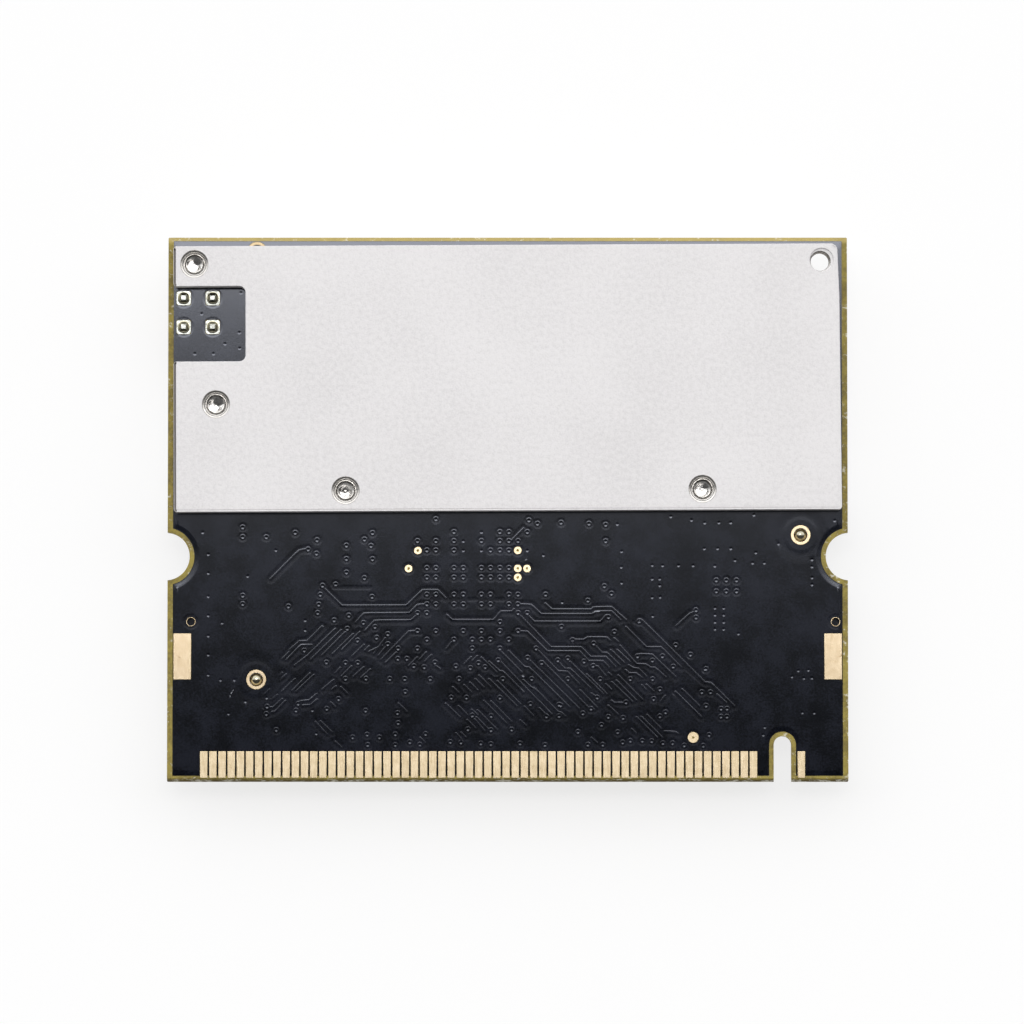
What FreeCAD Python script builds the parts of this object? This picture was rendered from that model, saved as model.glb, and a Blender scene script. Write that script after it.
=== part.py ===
import FreeCAD, Part
import math
import os

# A radio card for a small card socket, lying on its front cover. Millimetres.
# X runs along the contact edge, Y from the contact edge towards the heat plate, and Z out of
# the card's back. The origin is under the middle of the board, on the surface it lies on.

# A round is drawn with flat sides where it is small. How many depends on its radius.
tiny_round_sides = 8
tiny_round_limit = 0.52
small_round_sides = 12
small_round_limit = 1.9
round_sides = 16

# Board
board_width = 59.5
board_height = 47.7
laminate_thickness = 0.94
board_corner_radius = 0.3
bevel_run = 0.3
bevel_drop = 0.25

# Solder mask on both faces, with a bare rim of laminate round it
mask_thickness = 0.03
mask_side_margin = 0.47
mask_top_margin = 0.31
mask_contact_margin = 0.52
mask_notch_margin = 0.42
mask_slot_margin = 0.4
mask_gap = 0.02

# Gold pads and plated holes
pad_thickness = 0.04
barrel_wall = 0.05

# Contacts along the bottom edge, on both faces
contact_pitch = 0.8
contact_width = 0.64
contact_length = 2.31
contact_edge_gap = 0.34
contact_left_margin = 2.8
slot_right_inset = 5.75
slot_width = 1.55
slot_depth = 3.98
slot_to_left_contact = 2.54
slot_to_right_contact = 1.64

# Half-round notches for the socket's side clips, with a ground pad below each
notch_radius = 2.1
notch_outset = 0.17
notch_height = 19.7
ground_pad_inset = 0.54
ground_pad_width = 1.53
ground_pad_length = 4.02
ground_pad_height = 8.93

# Tooling holes, one near each side
tooling_hole_radius = 0.35
tooling_pad_radius = 0.44
tooling_height = 13.98
tooling_left_inset = 2.05
tooling_right_inset = 1.09

# Plated holes with a round-ended plug soldered in each
plug_hole_radius = 0.59
plug_pad_radius = 0.92
plug_radius = 0.46
plug_fit = 0.01
plug_recess = 0.12
plug_right_inset = 4.12
plug_right_height = 21.58
plug_left_inset = 7.77
plug_left_height = 8.93
plug_top_inset = 1.23

# Bare ring pads of test vias, as x and distance below the heat plate, and one large ring as x
# and height over the contact edge
test_ring_radius = 0.33
test_hole_radius = 0.1
test_rings = [(-7.86, 3.41), (-8.67, 4.99), (0.88, 3.39), (0.88, 4.97), (1.69, 4.98), (0.88, 5.76)]
large_test_ring = (16.2, 3.87)
large_test_radius = 0.47

# Heat plate on the back and cover on the front, which share one outline
plate_thickness = 1.5
plate_side_inset = 0.55
plate_top_inset = 0.78
plate_bottom_height = 23.62
plate_corner_radius = 0.7
plate_edge_bevel = 0.28
assembly_skew = 0.25

# Window in both for the coaxial jack, open to the left side
window_width = 6.29
window_height = 6.59
window_top_drop = 3.53
window_corner_radius = 0.55

# Screws that pull the cover and the plate together through the board
corner_screw_side_inset = 1.83
corner_screw_top_inset = 1.57
edge_screw_inset = 1.83
middle_screw_side_inset = 3.7
middle_screw_drop = 3.76
left_edge_screw_x = -14.2
right_edge_screw_x = 16.97
tapped_radius = 0.8
tapped_mouth_radius = 1.15
thread_radius = 0.98
thread_play = 0.02
screw_hole_radius = 1.2
screw_pad_radius = 1.61
screw_tip_recess = 0.3
screw_tip_chamfer = 0.2
screw_head_radius = 1.7
screw_head_height = 1.1
screw_head_bevel = 0.45
head_play = 0.15
cross_length = 1.9
cross_width = 0.4
cross_depth = 0.6

# Cover
cover_height = 4.4
cover_floor = 1.0
cover_wall = 1.2
cover_ear = 1.2
boss_wall = 0.9
partition_x = 2.6
partition_wall = 1.0
partition_gate_width = 2.4
partition_gate_height = 1.2
cut_overrun = 1.0

# Thermal pad in a shallow pocket of the heat plate, over the power amplifiers
thermal_pad_length = 22.0
thermal_pad_lower_inset = 9.2
thermal_pad_upper_inset = 4.1
thermal_pad_thickness = 0.3
thermal_pad_play = 0.3

# Coaxial jack
jack_left_inset = 2.62
jack_window_drop = 2.29
jack_leg_pitch = 2.54
jack_leg_width = 0.5
jack_leg_height = 0.5
jack_leg_chamfer = 0.1
jack_flange_width = 3.7
jack_flange_thickness = 1.0
jack_barrel_radius = 1.8
jack_bore_radius = 1.22
jack_floor_gap = 0.3
jack_bore_depth = 2.3
jack_lip_chamfer = 0.2
jack_insulator_radius = 0.95
jack_contact_radius = 0.42
jack_contact_bore = 0.2
jack_contact_reach = 1.4
leg_hole_radius = 0.45
leg_pad_width = 1.25
leg_pad_corner = 0.2
leg_front_pad_radius = 0.6
solder_foot_radius = 0.56
solder_top_radius = 0.4
solder_rise = 0.34
solder_waist_radius = 0.44
solder_waist_rise = 0.12

# Baseband chip on solder balls
baseband_width = 12.0
baseband_x = -2.3
baseband_cover_gap = 0.38
baseband_substrate_thickness = 0.36
baseband_mould_width = 10.4
baseband_mould_thickness = 0.8
baseband_mould_draft = 0.25
ball_pitch = 1.0
ball_count = 11
ball_sides = 6
ball_radius = 0.22
ball_height = 0.35

# Memory chip with bent leads
memory_x = -20.2
memory_plate_gap = 5.02
memory_length = 4.9
memory_width = 3.9
memory_body_thickness = 1.4
memory_draft = 0.12
memory_lead_pitch = 1.27
memory_lead_width = 0.42
memory_lead_thickness = 0.2
memory_lead_reach = 1.05
memory_lead_foot = 0.5
memory_leads_a_side = 4
chip_standoff = 0.1

# Crystals: a ceramic tray with a metal lid
clock_crystal_x = -13.4
clock_crystal_plate_gap = 2.72
clock_crystal_size = (5.0, 3.2)
reference_crystal_offset = 0.8
reference_crystal_gap = 1.0
reference_crystal_size = (3.2, 2.5)
crystal_tray_thickness = 0.7
crystal_lid_thickness = 0.3
crystal_lid_inset = 0.25

# Voltage regulator with a tab and three leads
regulator_x = 19.1
regulator_plate_gap = 3.07
regulator_length = 6.5
regulator_width = 3.5
regulator_thickness = 1.6
regulator_draft = 0.2
regulator_lead_pitch = 2.3
regulator_lead_width = 0.7
regulator_tab_width = 3.0
regulator_lead_thickness = 0.25
regulator_lead_reach = 1.7
regulator_lead_foot = 0.9

# Power inductor
inductor_x = 11.2
inductor_plate_gap = 4.52
inductor_width = 5.0
inductor_thickness = 2.4
inductor_corner_cut = 1.1
inductor_drum_radius = 1.9
inductor_drum_step = 0.15
inductor_terminal_width = 2.0
inductor_terminal_thickness = 0.15

# Moulded tantalum capacitors
tantalum_length = 3.5
tantalum_width = 2.8
tantalum_thickness = 1.9
tantalum_terminal_width = 2.2
tantalum_terminal_thickness = 0.15
tantalum_terminal_height = 1.0
tantalum_fold_length = 0.8
tantalum_draft = 0.1
tantalum_columns = (19.1, 12.0)

# Small chip capacitors and resistors
chip_length = 1.0
chip_width = 0.5
capacitor_thickness = 0.5
resistor_thickness = 0.35
terminal_length = 0.25
chip_row_gap = 0.5
chip_row_pitch = 1.9
resistor_row_height = 4.8
resistor_row_pitch = 3.2
resistor_row_inset = 6.2

# Leadless chips under the cover
transceiver_partition_gap = 3.8
transceiver_offset = 0.15
transceiver_width = 9.0
leadless_thickness = 0.85
amplifier_width = 4.0
amplifier_first_gap = 4.5
amplifier_spacing = 10.0
switch_width = 3.0
switch_window_gap = 1.9
switch_wall_gap = 3.2
filter_size = (3.2, 2.5)
filter_thickness = 1.2
filter_switch_gap = 1.8

# Levels and edges that follow from the sizes above
front_face = cover_height
laminate_bottom = front_face + mask_thickness
laminate_top = laminate_bottom + laminate_thickness
back_face = laminate_top + mask_thickness
plate_top = back_face + plate_thickness
board_left = -board_width / 2
board_right = board_width / 2
contact_edge = -board_height / 2
board_top = board_height / 2
plate_left = board_left + plate_side_inset
plate_right = board_right - plate_side_inset
plate_bottom = contact_edge + plate_bottom_height
plate_upper = board_top - plate_top_inset
plate_middle = (plate_bottom + plate_upper) / 2
window_right = plate_left + window_width
slot_centre_x = board_right - slot_right_inset
window_top = plate_upper - window_top_drop
window_bottom = window_top - window_height
jack_x = board_left + jack_left_inset
jack_y = window_top - jack_window_drop
head_pocket_radius = screw_head_radius + head_play
ear_face = cover_height - cover_ear
pocket_top = back_face + thermal_pad_thickness
boss_radius = head_pocket_radius + boss_wall
partition_left = partition_x - partition_wall / 2
partition_right = partition_x + partition_wall / 2

corner_screw_y = plate_upper - corner_screw_top_inset
edge_screw_y = plate_bottom + edge_screw_inset
left_corner_screw = (plate_left + corner_screw_side_inset, corner_screw_y)
open_corner_hole = (plate_right - corner_screw_side_inset, corner_screw_y)
middle_screw = (plate_left + middle_screw_side_inset, window_bottom - middle_screw_drop)
left_edge_screw = (left_edge_screw_x, edge_screw_y)
right_edge_screw = (right_edge_screw_x, edge_screw_y)
screw_places = [left_corner_screw, middle_screw, left_edge_screw, right_edge_screw]
hole_places = screw_places + [open_corner_hole]

plug_places = [
    (board_right - plug_right_inset, contact_edge + plug_right_height),
    (board_left + plug_left_inset, contact_edge + plug_left_height),
    (board_left + plug_left_inset, board_top - plug_top_inset),
]
tooling_places = [
    (board_left + tooling_left_inset, contact_edge + tooling_height),
    (board_right - tooling_right_inset, contact_edge + tooling_height),
]
jack_leg_places = [
    (jack_x + sx * jack_leg_pitch / 2, jack_y + sy * jack_leg_pitch / 2)
    for sx in (-1, 1)
    for sy in (-1, 1)
]
first_contact_x = slot_centre_x - slot_to_left_contact
contacts_left_of_slot = 1 + int((first_contact_x - board_left - contact_left_margin) / contact_pitch)
last_contact_x = first_contact_x - contact_pitch * (contacts_left_of_slot - 1)
contact_places = [slot_centre_x + slot_to_right_contact] + [
    first_contact_x - contact_pitch * i for i in range(contacts_left_of_slot)
]
baseband_y = plate_bottom - baseband_cover_gap - baseband_width / 2
memory_place = (memory_x, plate_bottom - memory_plate_gap - memory_lead_reach - memory_width / 2)
clock_place = (clock_crystal_x, plate_bottom - clock_crystal_plate_gap - clock_crystal_size[1] / 2)
inductor_place = (inductor_x, plate_bottom - inductor_plate_gap - inductor_width / 2)
regulator_reach = regulator_width / 2 + regulator_lead_reach
regulator_place = (regulator_x, plate_bottom - regulator_plate_gap - regulator_reach)
resistor_row_y = contact_edge + resistor_row_height
resistor_row_top = resistor_row_y + chip_length / 2
tantalum_y = (regulator_place[1] - regulator_reach + resistor_row_top) / 2
tantalum_places = [(x, tantalum_y) for x in tantalum_columns]

thermal_pad_low = plate_bottom + thermal_pad_lower_inset
thermal_pad_high = plate_upper - thermal_pad_upper_inset
amplifier_y = (thermal_pad_low + thermal_pad_high) / 2
first_amplifier_x = partition_right + amplifier_first_gap + amplifier_width / 2
amplifier_positions = (first_amplifier_x, first_amplifier_x + amplifier_spacing)
thermal_pad_place = (sum(amplifier_positions) / len(amplifier_positions), amplifier_y)
transceiver_place = (
    partition_left - transceiver_partition_gap - transceiver_width / 2,
    plate_middle + transceiver_offset,
)
switch_place = (
    window_right + cover_wall + switch_window_gap,
    plate_upper - cover_wall - switch_wall_gap - switch_width / 2,
)
filter_place = (
    switch_place[0],
    switch_place[1] - switch_width / 2 - filter_switch_gap - filter_size[1] / 2,
)
reference_place = (
    left_edge_screw_x + reference_crystal_offset,
    edge_screw_y + boss_radius + reference_crystal_gap + reference_crystal_size[1] / 2,
)


def block(x0, x1, y0, y1, z0, z1):
    return Part.makeBox(x1 - x0, y1 - y0, z1 - z0, FreeCAD.Vector(x0, y0, z0))


def disc(place, radius, z0, z1):
    return Part.makeCylinder(radius, z1 - z0, FreeCAD.Vector(place[0], place[1], z0))


def flat_ring(place, radius, level, sides):
    """A closed outline with equal sides round a place, whose corners are at the radius."""
    turns = [2 * math.pi * k / sides for k in range(sides)]
    x, y = place
    corners = [FreeCAD.Vector(x + radius * math.cos(a), y + radius * math.sin(a), level) for a in turns]
    return Part.makePolygon(corners + corners[:1])


def sides_for(radius):
    if radius < tiny_round_limit:
        return tiny_round_sides
    return small_round_sides if radius < small_round_limit else round_sides


def column(place, radius, z0, z1):
    """An upright column with flat sides, for a small round."""
    outline = flat_ring(place, radius, z0, sides_for(radius))
    return Part.Face(outline).extrude(FreeCAD.Vector(0, 0, z1 - z0))


def stacked(place, profile, sides):
    """A flat-sided column whose profile is (radius, level) pairs, lowest first."""
    bands = []
    for (r0, z0), (r1, z1) in zip(profile, profile[1:]):
        if z1 > z0:
            rings = [flat_ring(place, r0, z0, sides), flat_ring(place, r1, z1, sides)]
            bands.append(Part.makeLoft(rings, True, True))
    return joined(bands)


def cone(place, radius_low, radius_high, z0, z1):
    start = FreeCAD.Vector(place[0], place[1], z0)
    return Part.makeCone(radius_low, radius_high, z1 - z0, start)


def rounded_block(x0, x1, y0, y1, z0, z1, radius):
    body = block(x0, x1, y0, y1, z0, z1)
    upright = [e for e in body.Edges if abs(e.BoundBox.ZLength - (z1 - z0)) < 1e-6]
    return body.makeFillet(radius, upright)


def centred_block(place, length, width, z0, z1):
    x, y = place
    return block(x - length / 2, x + length / 2, y - width / 2, y + width / 2, z0, z1)


def joined(shapes):
    return shapes[0].multiFuse(shapes[1:]).removeSplitter()


def profile_along_x(points, x0, x1):
    """A solid from a closed outline in the YZ plane, run along X from x0 to x1."""
    corners = [FreeCAD.Vector(x0, y, z) for y, z in points]
    face = Part.Face(Part.makePolygon(corners + corners[:1]))
    return face.extrude(FreeCAD.Vector(x1 - x0, 0, 0))


def turned(shape, place, degrees):
    copy = shape.copy()
    copy.rotate(FreeCAD.Vector(place[0], place[1], 0), FreeCAD.Vector(0, 0, 1), degrees)
    return copy


def skewed(shape):
    """The plate and the cover sit a little askew in the play of their screw holes."""
    return turned(shape, (0, plate_middle), assembly_skew)


def notch_cutters(extra, z0, z1):
    y = contact_edge + notch_height
    left = disc((board_left - notch_outset, y), notch_radius + extra, z0, z1)
    right = disc((board_right + notch_outset, y), notch_radius + extra, z0, z1)
    return [left, right]


def slot_cutters(extra, z0, z1):
    half = slot_width / 2 + extra
    arc_y = contact_edge + slot_depth - slot_width / 2
    below = contact_edge - cut_overrun
    channel = block(slot_centre_x - half, slot_centre_x + half, below, arc_y, z0, z1)
    return [channel, disc((slot_centre_x, arc_y), half, z0, z1)]


def board_laminate():
    z0 = laminate_bottom
    z1 = laminate_top
    board = rounded_block(board_left, board_right, contact_edge, board_top, z0, z1, board_corner_radius)
    cutters = notch_cutters(0, z0, z1) + slot_cutters(0, z0, z1)
    for place in hole_places:
        cutters.append(column(place, screw_hole_radius + barrel_wall, z0, z1))
    for place in plug_places:
        cutters.append(column(place, plug_hole_radius + barrel_wall, z0, z1))
    for place in tooling_places:
        cutters.append(column(place, tooling_hole_radius + barrel_wall, z0, z1))
    for place in jack_leg_places:
        cutters.append(column(place, leg_hole_radius + barrel_wall, z0, z1))
    for z, drop in ((z1, -bevel_drop), (z0, bevel_drop)):
        wedge = [(contact_edge, z), (contact_edge + bevel_run, z), (contact_edge, z + drop)]
        cutters.append(profile_along_x(wedge, board_left, board_right))
    return board.cut(cutters)


def contact_box(x, extra, z0, z1):
    half = contact_width / 2 + extra
    low = contact_edge + contact_edge_gap
    return block(x - half, x + half, low, low + contact_length + extra, z0, z1)


def ground_pad_box(side, extra, z0, z1):
    """The clip's ground pad at the left (-1) or the right (1) side of the board."""
    outer = board_width / 2 - ground_pad_inset + extra
    inner = board_width / 2 - ground_pad_inset - ground_pad_width - extra
    low = contact_edge + ground_pad_height
    x0, x1 = sorted((side * outer, side * inner))
    return block(x0, x1, low - extra, low + ground_pad_length + extra, z0, z1)


def mask_sheet(z0, z1):
    """A face's solder mask, open round each pad and hole."""
    sheet = block(
        board_left + mask_side_margin,
        board_right - mask_side_margin,
        contact_edge + mask_contact_margin,
        board_top - mask_top_margin,
        z0,
        z1,
    )
    cutters = notch_cutters(mask_notch_margin, z0, z1) + slot_cutters(mask_slot_margin, z0, z1)
    cutters += [ground_pad_box(side, mask_gap, z0, z1) for side in (-1, 1)]
    cutters += [column(p, screw_pad_radius + mask_gap, z0, z1) for p in hole_places]
    cutters += [column(p, plug_pad_radius + mask_gap, z0, z1) for p in plug_places]
    cutters += [column(p, tooling_pad_radius + mask_gap, z0, z1) for p in tooling_places]
    return sheet.cut(cutters)


def back_solder_mask():
    """The back's mask runs down between the contacts as a comb."""
    z0 = laminate_top
    z1 = back_face
    opening = leg_pad_width + 2 * mask_gap
    cutters = [contact_box(x, mask_gap, z0, z1) for x in contact_places]
    cutters += [centred_block(p, opening, opening, z0, z1) for p in jack_leg_places]
    cutters += [column(p, r + mask_gap, z0, z1) for p, r in test_ring_places()]
    return mask_sheet(z0, z1).cut(cutters)


def front_solder_mask():
    """The front's mask has one opening for all contacts on each side of the slot."""
    z0 = front_face
    z1 = laminate_bottom
    reach = contact_width / 2 + mask_gap
    top = contact_edge + contact_edge_gap + contact_length + mask_gap
    cutters = [
        block(last_contact_x - reach, first_contact_x + reach, contact_edge, top, z0, z1),
        contact_box(contact_places[0], mask_gap, z0, z1),
    ]
    cutters += [column(p, leg_front_pad_radius + mask_gap, z0, z1) for p in jack_leg_places]
    return mask_sheet(z0, z1).cut(cutters)


def back_edge_contacts():
    z1 = laminate_top + pad_thickness
    return Part.makeCompound([contact_box(x, 0, laminate_top, z1) for x in contact_places])


def front_edge_contacts():
    z0 = laminate_bottom - pad_thickness
    return Part.makeCompound([contact_box(x, 0, z0, laminate_bottom) for x in contact_places])


def back_ground_pads():
    z1 = laminate_top + pad_thickness
    return Part.makeCompound([ground_pad_box(side, 0, laminate_top, z1) for side in (-1, 1)])


def front_ground_pads():
    z0 = laminate_bottom - pad_thickness
    return Part.makeCompound([ground_pad_box(side, 0, z0, laminate_bottom) for side in (-1, 1)])


def plated_hole(place, hole_radius, pad_radius, thickness):
    """A barrel through the board with a ring pad on each face."""
    barrel = column(place, hole_radius + barrel_wall, laminate_bottom, laminate_top)
    upper = column(place, pad_radius, laminate_top, laminate_top + thickness)
    lower = column(place, pad_radius, laminate_bottom - thickness, laminate_bottom)
    bore = column(place, hole_radius, laminate_bottom - thickness, laminate_top + thickness)
    return joined([barrel, upper, lower]).cut(bore)


def screw_hole_sleeves():
    holes = [plated_hole(p, screw_hole_radius, screw_pad_radius, mask_thickness) for p in hole_places]
    return Part.makeCompound(holes)


def plug_rings():
    holes = [plated_hole(p, plug_hole_radius, plug_pad_radius, mask_thickness) for p in plug_places]
    return Part.makeCompound(holes)


def tooling_rings():
    holes = [
        plated_hole(p, tooling_hole_radius, tooling_pad_radius, pad_thickness) for p in tooling_places
    ]
    return Part.makeCompound(holes)


def plug_pins():
    """Plugs that fill the front half of their hole and end in a dome short of the back."""
    base_radius = plug_hole_radius - plug_fit
    shoulder = (laminate_bottom + laminate_top) / 2
    spring = back_face - plug_recess - plug_radius
    profile = [(base_radius, front_face), (base_radius, shoulder), (plug_radius, shoulder)]
    for degrees in (0, 30, 60, 80):
        rise = math.radians(degrees)
        profile.append((plug_radius * math.cos(rise), spring + plug_radius * math.sin(rise)))
    return Part.makeCompound([stacked(place, profile, sides_for(base_radius)) for place in plug_places])


def test_ring_places():
    small = [((x, plate_bottom - gap), test_ring_radius) for x, gap in test_rings]
    x, y = large_test_ring
    return small + [((x, contact_edge + y), large_test_radius)]


def test_ring_pads():
    rings = []
    for place, radius in test_ring_places():
        pad = column(place, radius, laminate_top, laminate_top + pad_thickness)
        bore = column(place, test_hole_radius, laminate_top, laminate_top + pad_thickness)
        rings.append(pad.cut(bore))
    return Part.makeCompound(rings)


def plate_outline(z0, z1):
    """The outline that the heat plate and the cover share, with the jack's window at the left."""
    body = block(plate_left, plate_right, plate_bottom, plate_upper, z0, z1)
    window = block(plate_left, window_right, window_bottom, window_top, z0, z1)
    body = body.cut(window)
    outer = []
    inner = []
    for edge in body.Edges:
        if abs(edge.BoundBox.ZLength - (z1 - z0)) > 1e-6:
            continue
        in_window = abs(edge.Vertexes[0].Point.x - window_right) < 1e-6
        (inner if in_window else outer).append(edge)
    body = body.makeFillet(plate_corner_radius, outer)
    corners = [
        e
        for e in body.Edges
        if abs(e.BoundBox.ZLength - (z1 - z0)) < 1e-6
        and e.BoundBox.XLength < 1e-6
        and abs(e.Vertexes[0].Point.x - window_right) < 1e-6
    ]
    return body.makeFillet(window_corner_radius, corners)


def bevelled_rim(body, level):
    rim = [e for e in body.Edges if e.BoundBox.ZLength < 1e-6 and abs(e.BoundBox.ZMin - level) < 1e-6]
    return body.makeChamfer(plate_edge_bevel, rim)


def heat_plate():
    body = bevelled_rim(plate_outline(back_face, plate_top), plate_top)
    mouth = plate_top - (tapped_mouth_radius - tapped_radius)
    profile = [(tapped_radius, back_face), (tapped_radius, mouth), (tapped_mouth_radius, plate_top)]
    cutters = [stacked(place, profile, small_round_sides) for place in screw_places]
    cutters.append(disc(open_corner_hole, tapped_radius, back_face, plate_top))
    cutters.append(cone(open_corner_hole, tapped_radius, tapped_mouth_radius, mouth, plate_top))
    cutters.append(thermal_pad_block(thermal_pad_play))
    return skewed(body.cut(cutters))


def thermal_pad_block(extra):
    length = thermal_pad_length + 2 * extra
    width = thermal_pad_high - thermal_pad_low + 2 * extra
    return centred_block(thermal_pad_place, length, width, back_face, pocket_top)


def thermal_pad():
    return skewed(thermal_pad_block(0))


def head_pockets():
    """Recesses for the screw heads, open to the cover's side where a screw is near it."""
    reach = head_pocket_radius
    past = cut_overrun
    pockets = [column(place, reach, 0, ear_face) for place in hole_places]
    x, y = left_corner_screw
    pockets.append(block(plate_left - past, x + reach, window_top - past, plate_upper + past, 0, ear_face))
    x, y = open_corner_hole
    pockets.append(block(x, plate_right + past, y - reach, plate_upper + past, 0, ear_face))
    pockets.append(block(x - reach, x, y, plate_upper + past, 0, ear_face))
    for x, y in (left_edge_screw, right_edge_screw):
        pockets.append(block(x - reach, x + reach, plate_bottom - past, y, 0, ear_face))
    return pockets


def rf_cover():
    body = bevelled_rim(plate_outline(0, cover_height), 0)
    cavity = block(
        plate_left + cover_wall,
        plate_right - cover_wall,
        plate_bottom + cover_wall,
        plate_upper - cover_wall,
        cover_floor,
        cover_height,
    )
    kept = [column(place, boss_radius, cover_floor, cover_height) for place in hole_places]
    kept.append(
        block(
            plate_left,
            window_right + cover_wall,
            window_bottom - cover_wall,
            plate_upper,
            cover_floor,
            cover_height,
        )
    )
    x, y = open_corner_hole
    corner = block(x - boss_radius, plate_right, y - boss_radius, plate_upper, cover_floor, cover_height)
    kept.append(corner)
    kept.append(
        block(partition_left, partition_right, plate_bottom, plate_upper, cover_floor, cover_height)
    )
    cavity = cavity.cut(kept)
    gate_place = (partition_x, transceiver_place[1])
    gate_base = cover_height - partition_gate_height
    gate = centred_block(gate_place, partition_wall, partition_gate_width, gate_base, cover_height)
    cutters = [cavity, gate] + head_pockets()
    cutters += [column(place, screw_hole_radius, ear_face, cover_height) for place in hole_places]
    return skewed(body.cut(cutters))


def cover_screw(place):
    """A pan-head screw from the cover's ear through the board into the plate."""
    head_low = ear_face - screw_head_height
    tip = plate_top - screw_tip_recess
    core = tapped_radius - thread_play
    crown = screw_head_radius - screw_head_bevel
    profile = [(crown, head_low), (screw_head_radius, head_low + screw_head_bevel)]
    head = stacked(place, profile + [(screw_head_radius, ear_face)], small_round_sides)
    cross = [
        centred_block(place, cross_length, cross_width, head_low, head_low + cross_depth),
        centred_block(place, cross_width, cross_length, head_low, head_low + cross_depth),
    ]
    profile = [(thread_radius, ear_face), (thread_radius, back_face), (core, back_face)]
    profile += [(core, tip - screw_tip_chamfer), (core - screw_tip_chamfer, tip)]
    return joined([head.cut(cross), stacked(place, profile, small_round_sides)])


def cover_screws():
    return skewed(Part.makeCompound([cover_screw(place) for place in screw_places]))


def jack_leg(place):
    tip = back_face + jack_leg_height
    post = centred_block(place, jack_leg_width, jack_leg_width, front_face, tip)
    top = [e for e in post.Edges if e.BoundBox.ZLength < 1e-6 and abs(e.BoundBox.ZMin - tip) < 1e-6]
    return post.makeChamfer(jack_leg_chamfer, top)


def jack_body():
    """Flange with four legs, and a barrel that a plug snaps into."""
    centre = (jack_x, jack_y)
    flange_low = front_face - jack_flange_thickness
    flange = centred_block(centre, jack_flange_width, jack_flange_width, flange_low, front_face)
    barrel = column(centre, jack_barrel_radius, jack_floor_gap, flange_low)
    body = joined([flange, barrel] + [jack_leg(place) for place in jack_leg_places])
    bore_top = jack_floor_gap + jack_bore_depth
    mouth = (jack_bore_radius + jack_lip_chamfer, jack_floor_gap)
    profile = [mouth, (jack_bore_radius, jack_floor_gap + jack_lip_chamfer)]
    profile += [(jack_bore_radius, bore_top), (jack_insulator_radius, bore_top)]
    profile.append((jack_insulator_radius, front_face))
    return body.cut(stacked(centre, profile, small_round_sides))


def jack_insulator():
    centre = (jack_x, jack_y)
    bore_top = jack_floor_gap + jack_bore_depth
    ring = column(centre, jack_insulator_radius, bore_top, front_face)
    return ring.cut(column(centre, jack_contact_radius, bore_top, front_face))


def jack_contact():
    centre = (jack_x, jack_y)
    tip = jack_floor_gap + jack_bore_depth - jack_contact_reach
    pin = column(centre, jack_contact_radius, tip, front_face)
    return pin.cut(column(centre, jack_contact_bore, tip, tip + jack_contact_reach))


def jack_leg_sleeve(place):
    upper = centred_block(place, leg_pad_width, leg_pad_width, laminate_top, laminate_top + pad_thickness)
    upright = [e for e in upper.Edges if e.BoundBox.ZLength > 1e-6]
    upper = upper.makeChamfer(leg_pad_corner, upright)
    barrel = column(place, leg_hole_radius + barrel_wall, laminate_bottom, laminate_top)
    lower = column(place, leg_front_pad_radius, front_face, laminate_bottom)
    bore = column(place, leg_hole_radius, front_face, laminate_top + pad_thickness)
    return joined([barrel, upper, lower]).cut(bore)


def jack_leg_sleeves():
    return Part.makeCompound([jack_leg_sleeve(place) for place in jack_leg_places])


def jack_solder_joint(place):
    """Solder round a leg: it fills the barrel and rises up the leg in a hollow fillet."""
    foot = laminate_top + pad_thickness
    profile = [(leg_hole_radius, front_face), (leg_hole_radius, foot), (solder_foot_radius, foot)]
    profile += [(solder_waist_radius, foot + solder_waist_rise), (solder_top_radius, foot + solder_rise)]
    return stacked(place, profile, sides_for(leg_hole_radius)).cut(jack_leg(place))


def jack_solder():
    return Part.makeCompound([jack_solder_joint(place) for place in jack_leg_places])


def baseband_balls():
    """The outer row of balls between the chip and the board, as short six-sided columns."""
    balls = []
    half = (ball_count - 1) / 2
    for i in range(ball_count):
        for j in range(ball_count):
            if 0 < i < ball_count - 1 and 0 < j < ball_count - 1:
                continue
            place = (baseband_x + (i - half) * ball_pitch, baseband_y + (j - half) * ball_pitch)
            outline = flat_ring(place, ball_radius, front_face - ball_height, ball_sides)
            balls.append(Part.Face(outline).extrude(FreeCAD.Vector(0, 0, ball_height)))
    return Part.makeCompound(balls)


def baseband_substrate():
    top = front_face - ball_height
    low = top - baseband_substrate_thickness
    return centred_block((baseband_x, baseband_y), baseband_width, baseband_width, low, top)


def tapered_block(place, length, width, z0, z1, draft):
    """A moulded block whose free end, at z0, is smaller by the draft on each side."""
    x, y = place

    def outline(inset, z):
        half_x = length / 2 - inset
        half_y = width / 2 - inset
        corners = [(-half_x, -half_y), (half_x, -half_y), (half_x, half_y), (-half_x, half_y)]
        points = [FreeCAD.Vector(x + dx, y + dy, z) for dx, dy in corners]
        return Part.makePolygon(points + points[:1])

    return Part.makeLoft([outline(draft, z0), outline(0, z1)], True, True)


def baseband_package():
    top = front_face - ball_height - baseband_substrate_thickness
    low = top - baseband_mould_thickness
    place = (baseband_x, baseband_y)
    width = baseband_mould_width
    return tapered_block(place, width, width, low, top, baseband_mould_draft)


def memory_chip():
    top = front_face - chip_standoff
    low = top - memory_body_thickness
    return tapered_block(memory_place, memory_length, memory_width, low, top, memory_draft)


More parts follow.
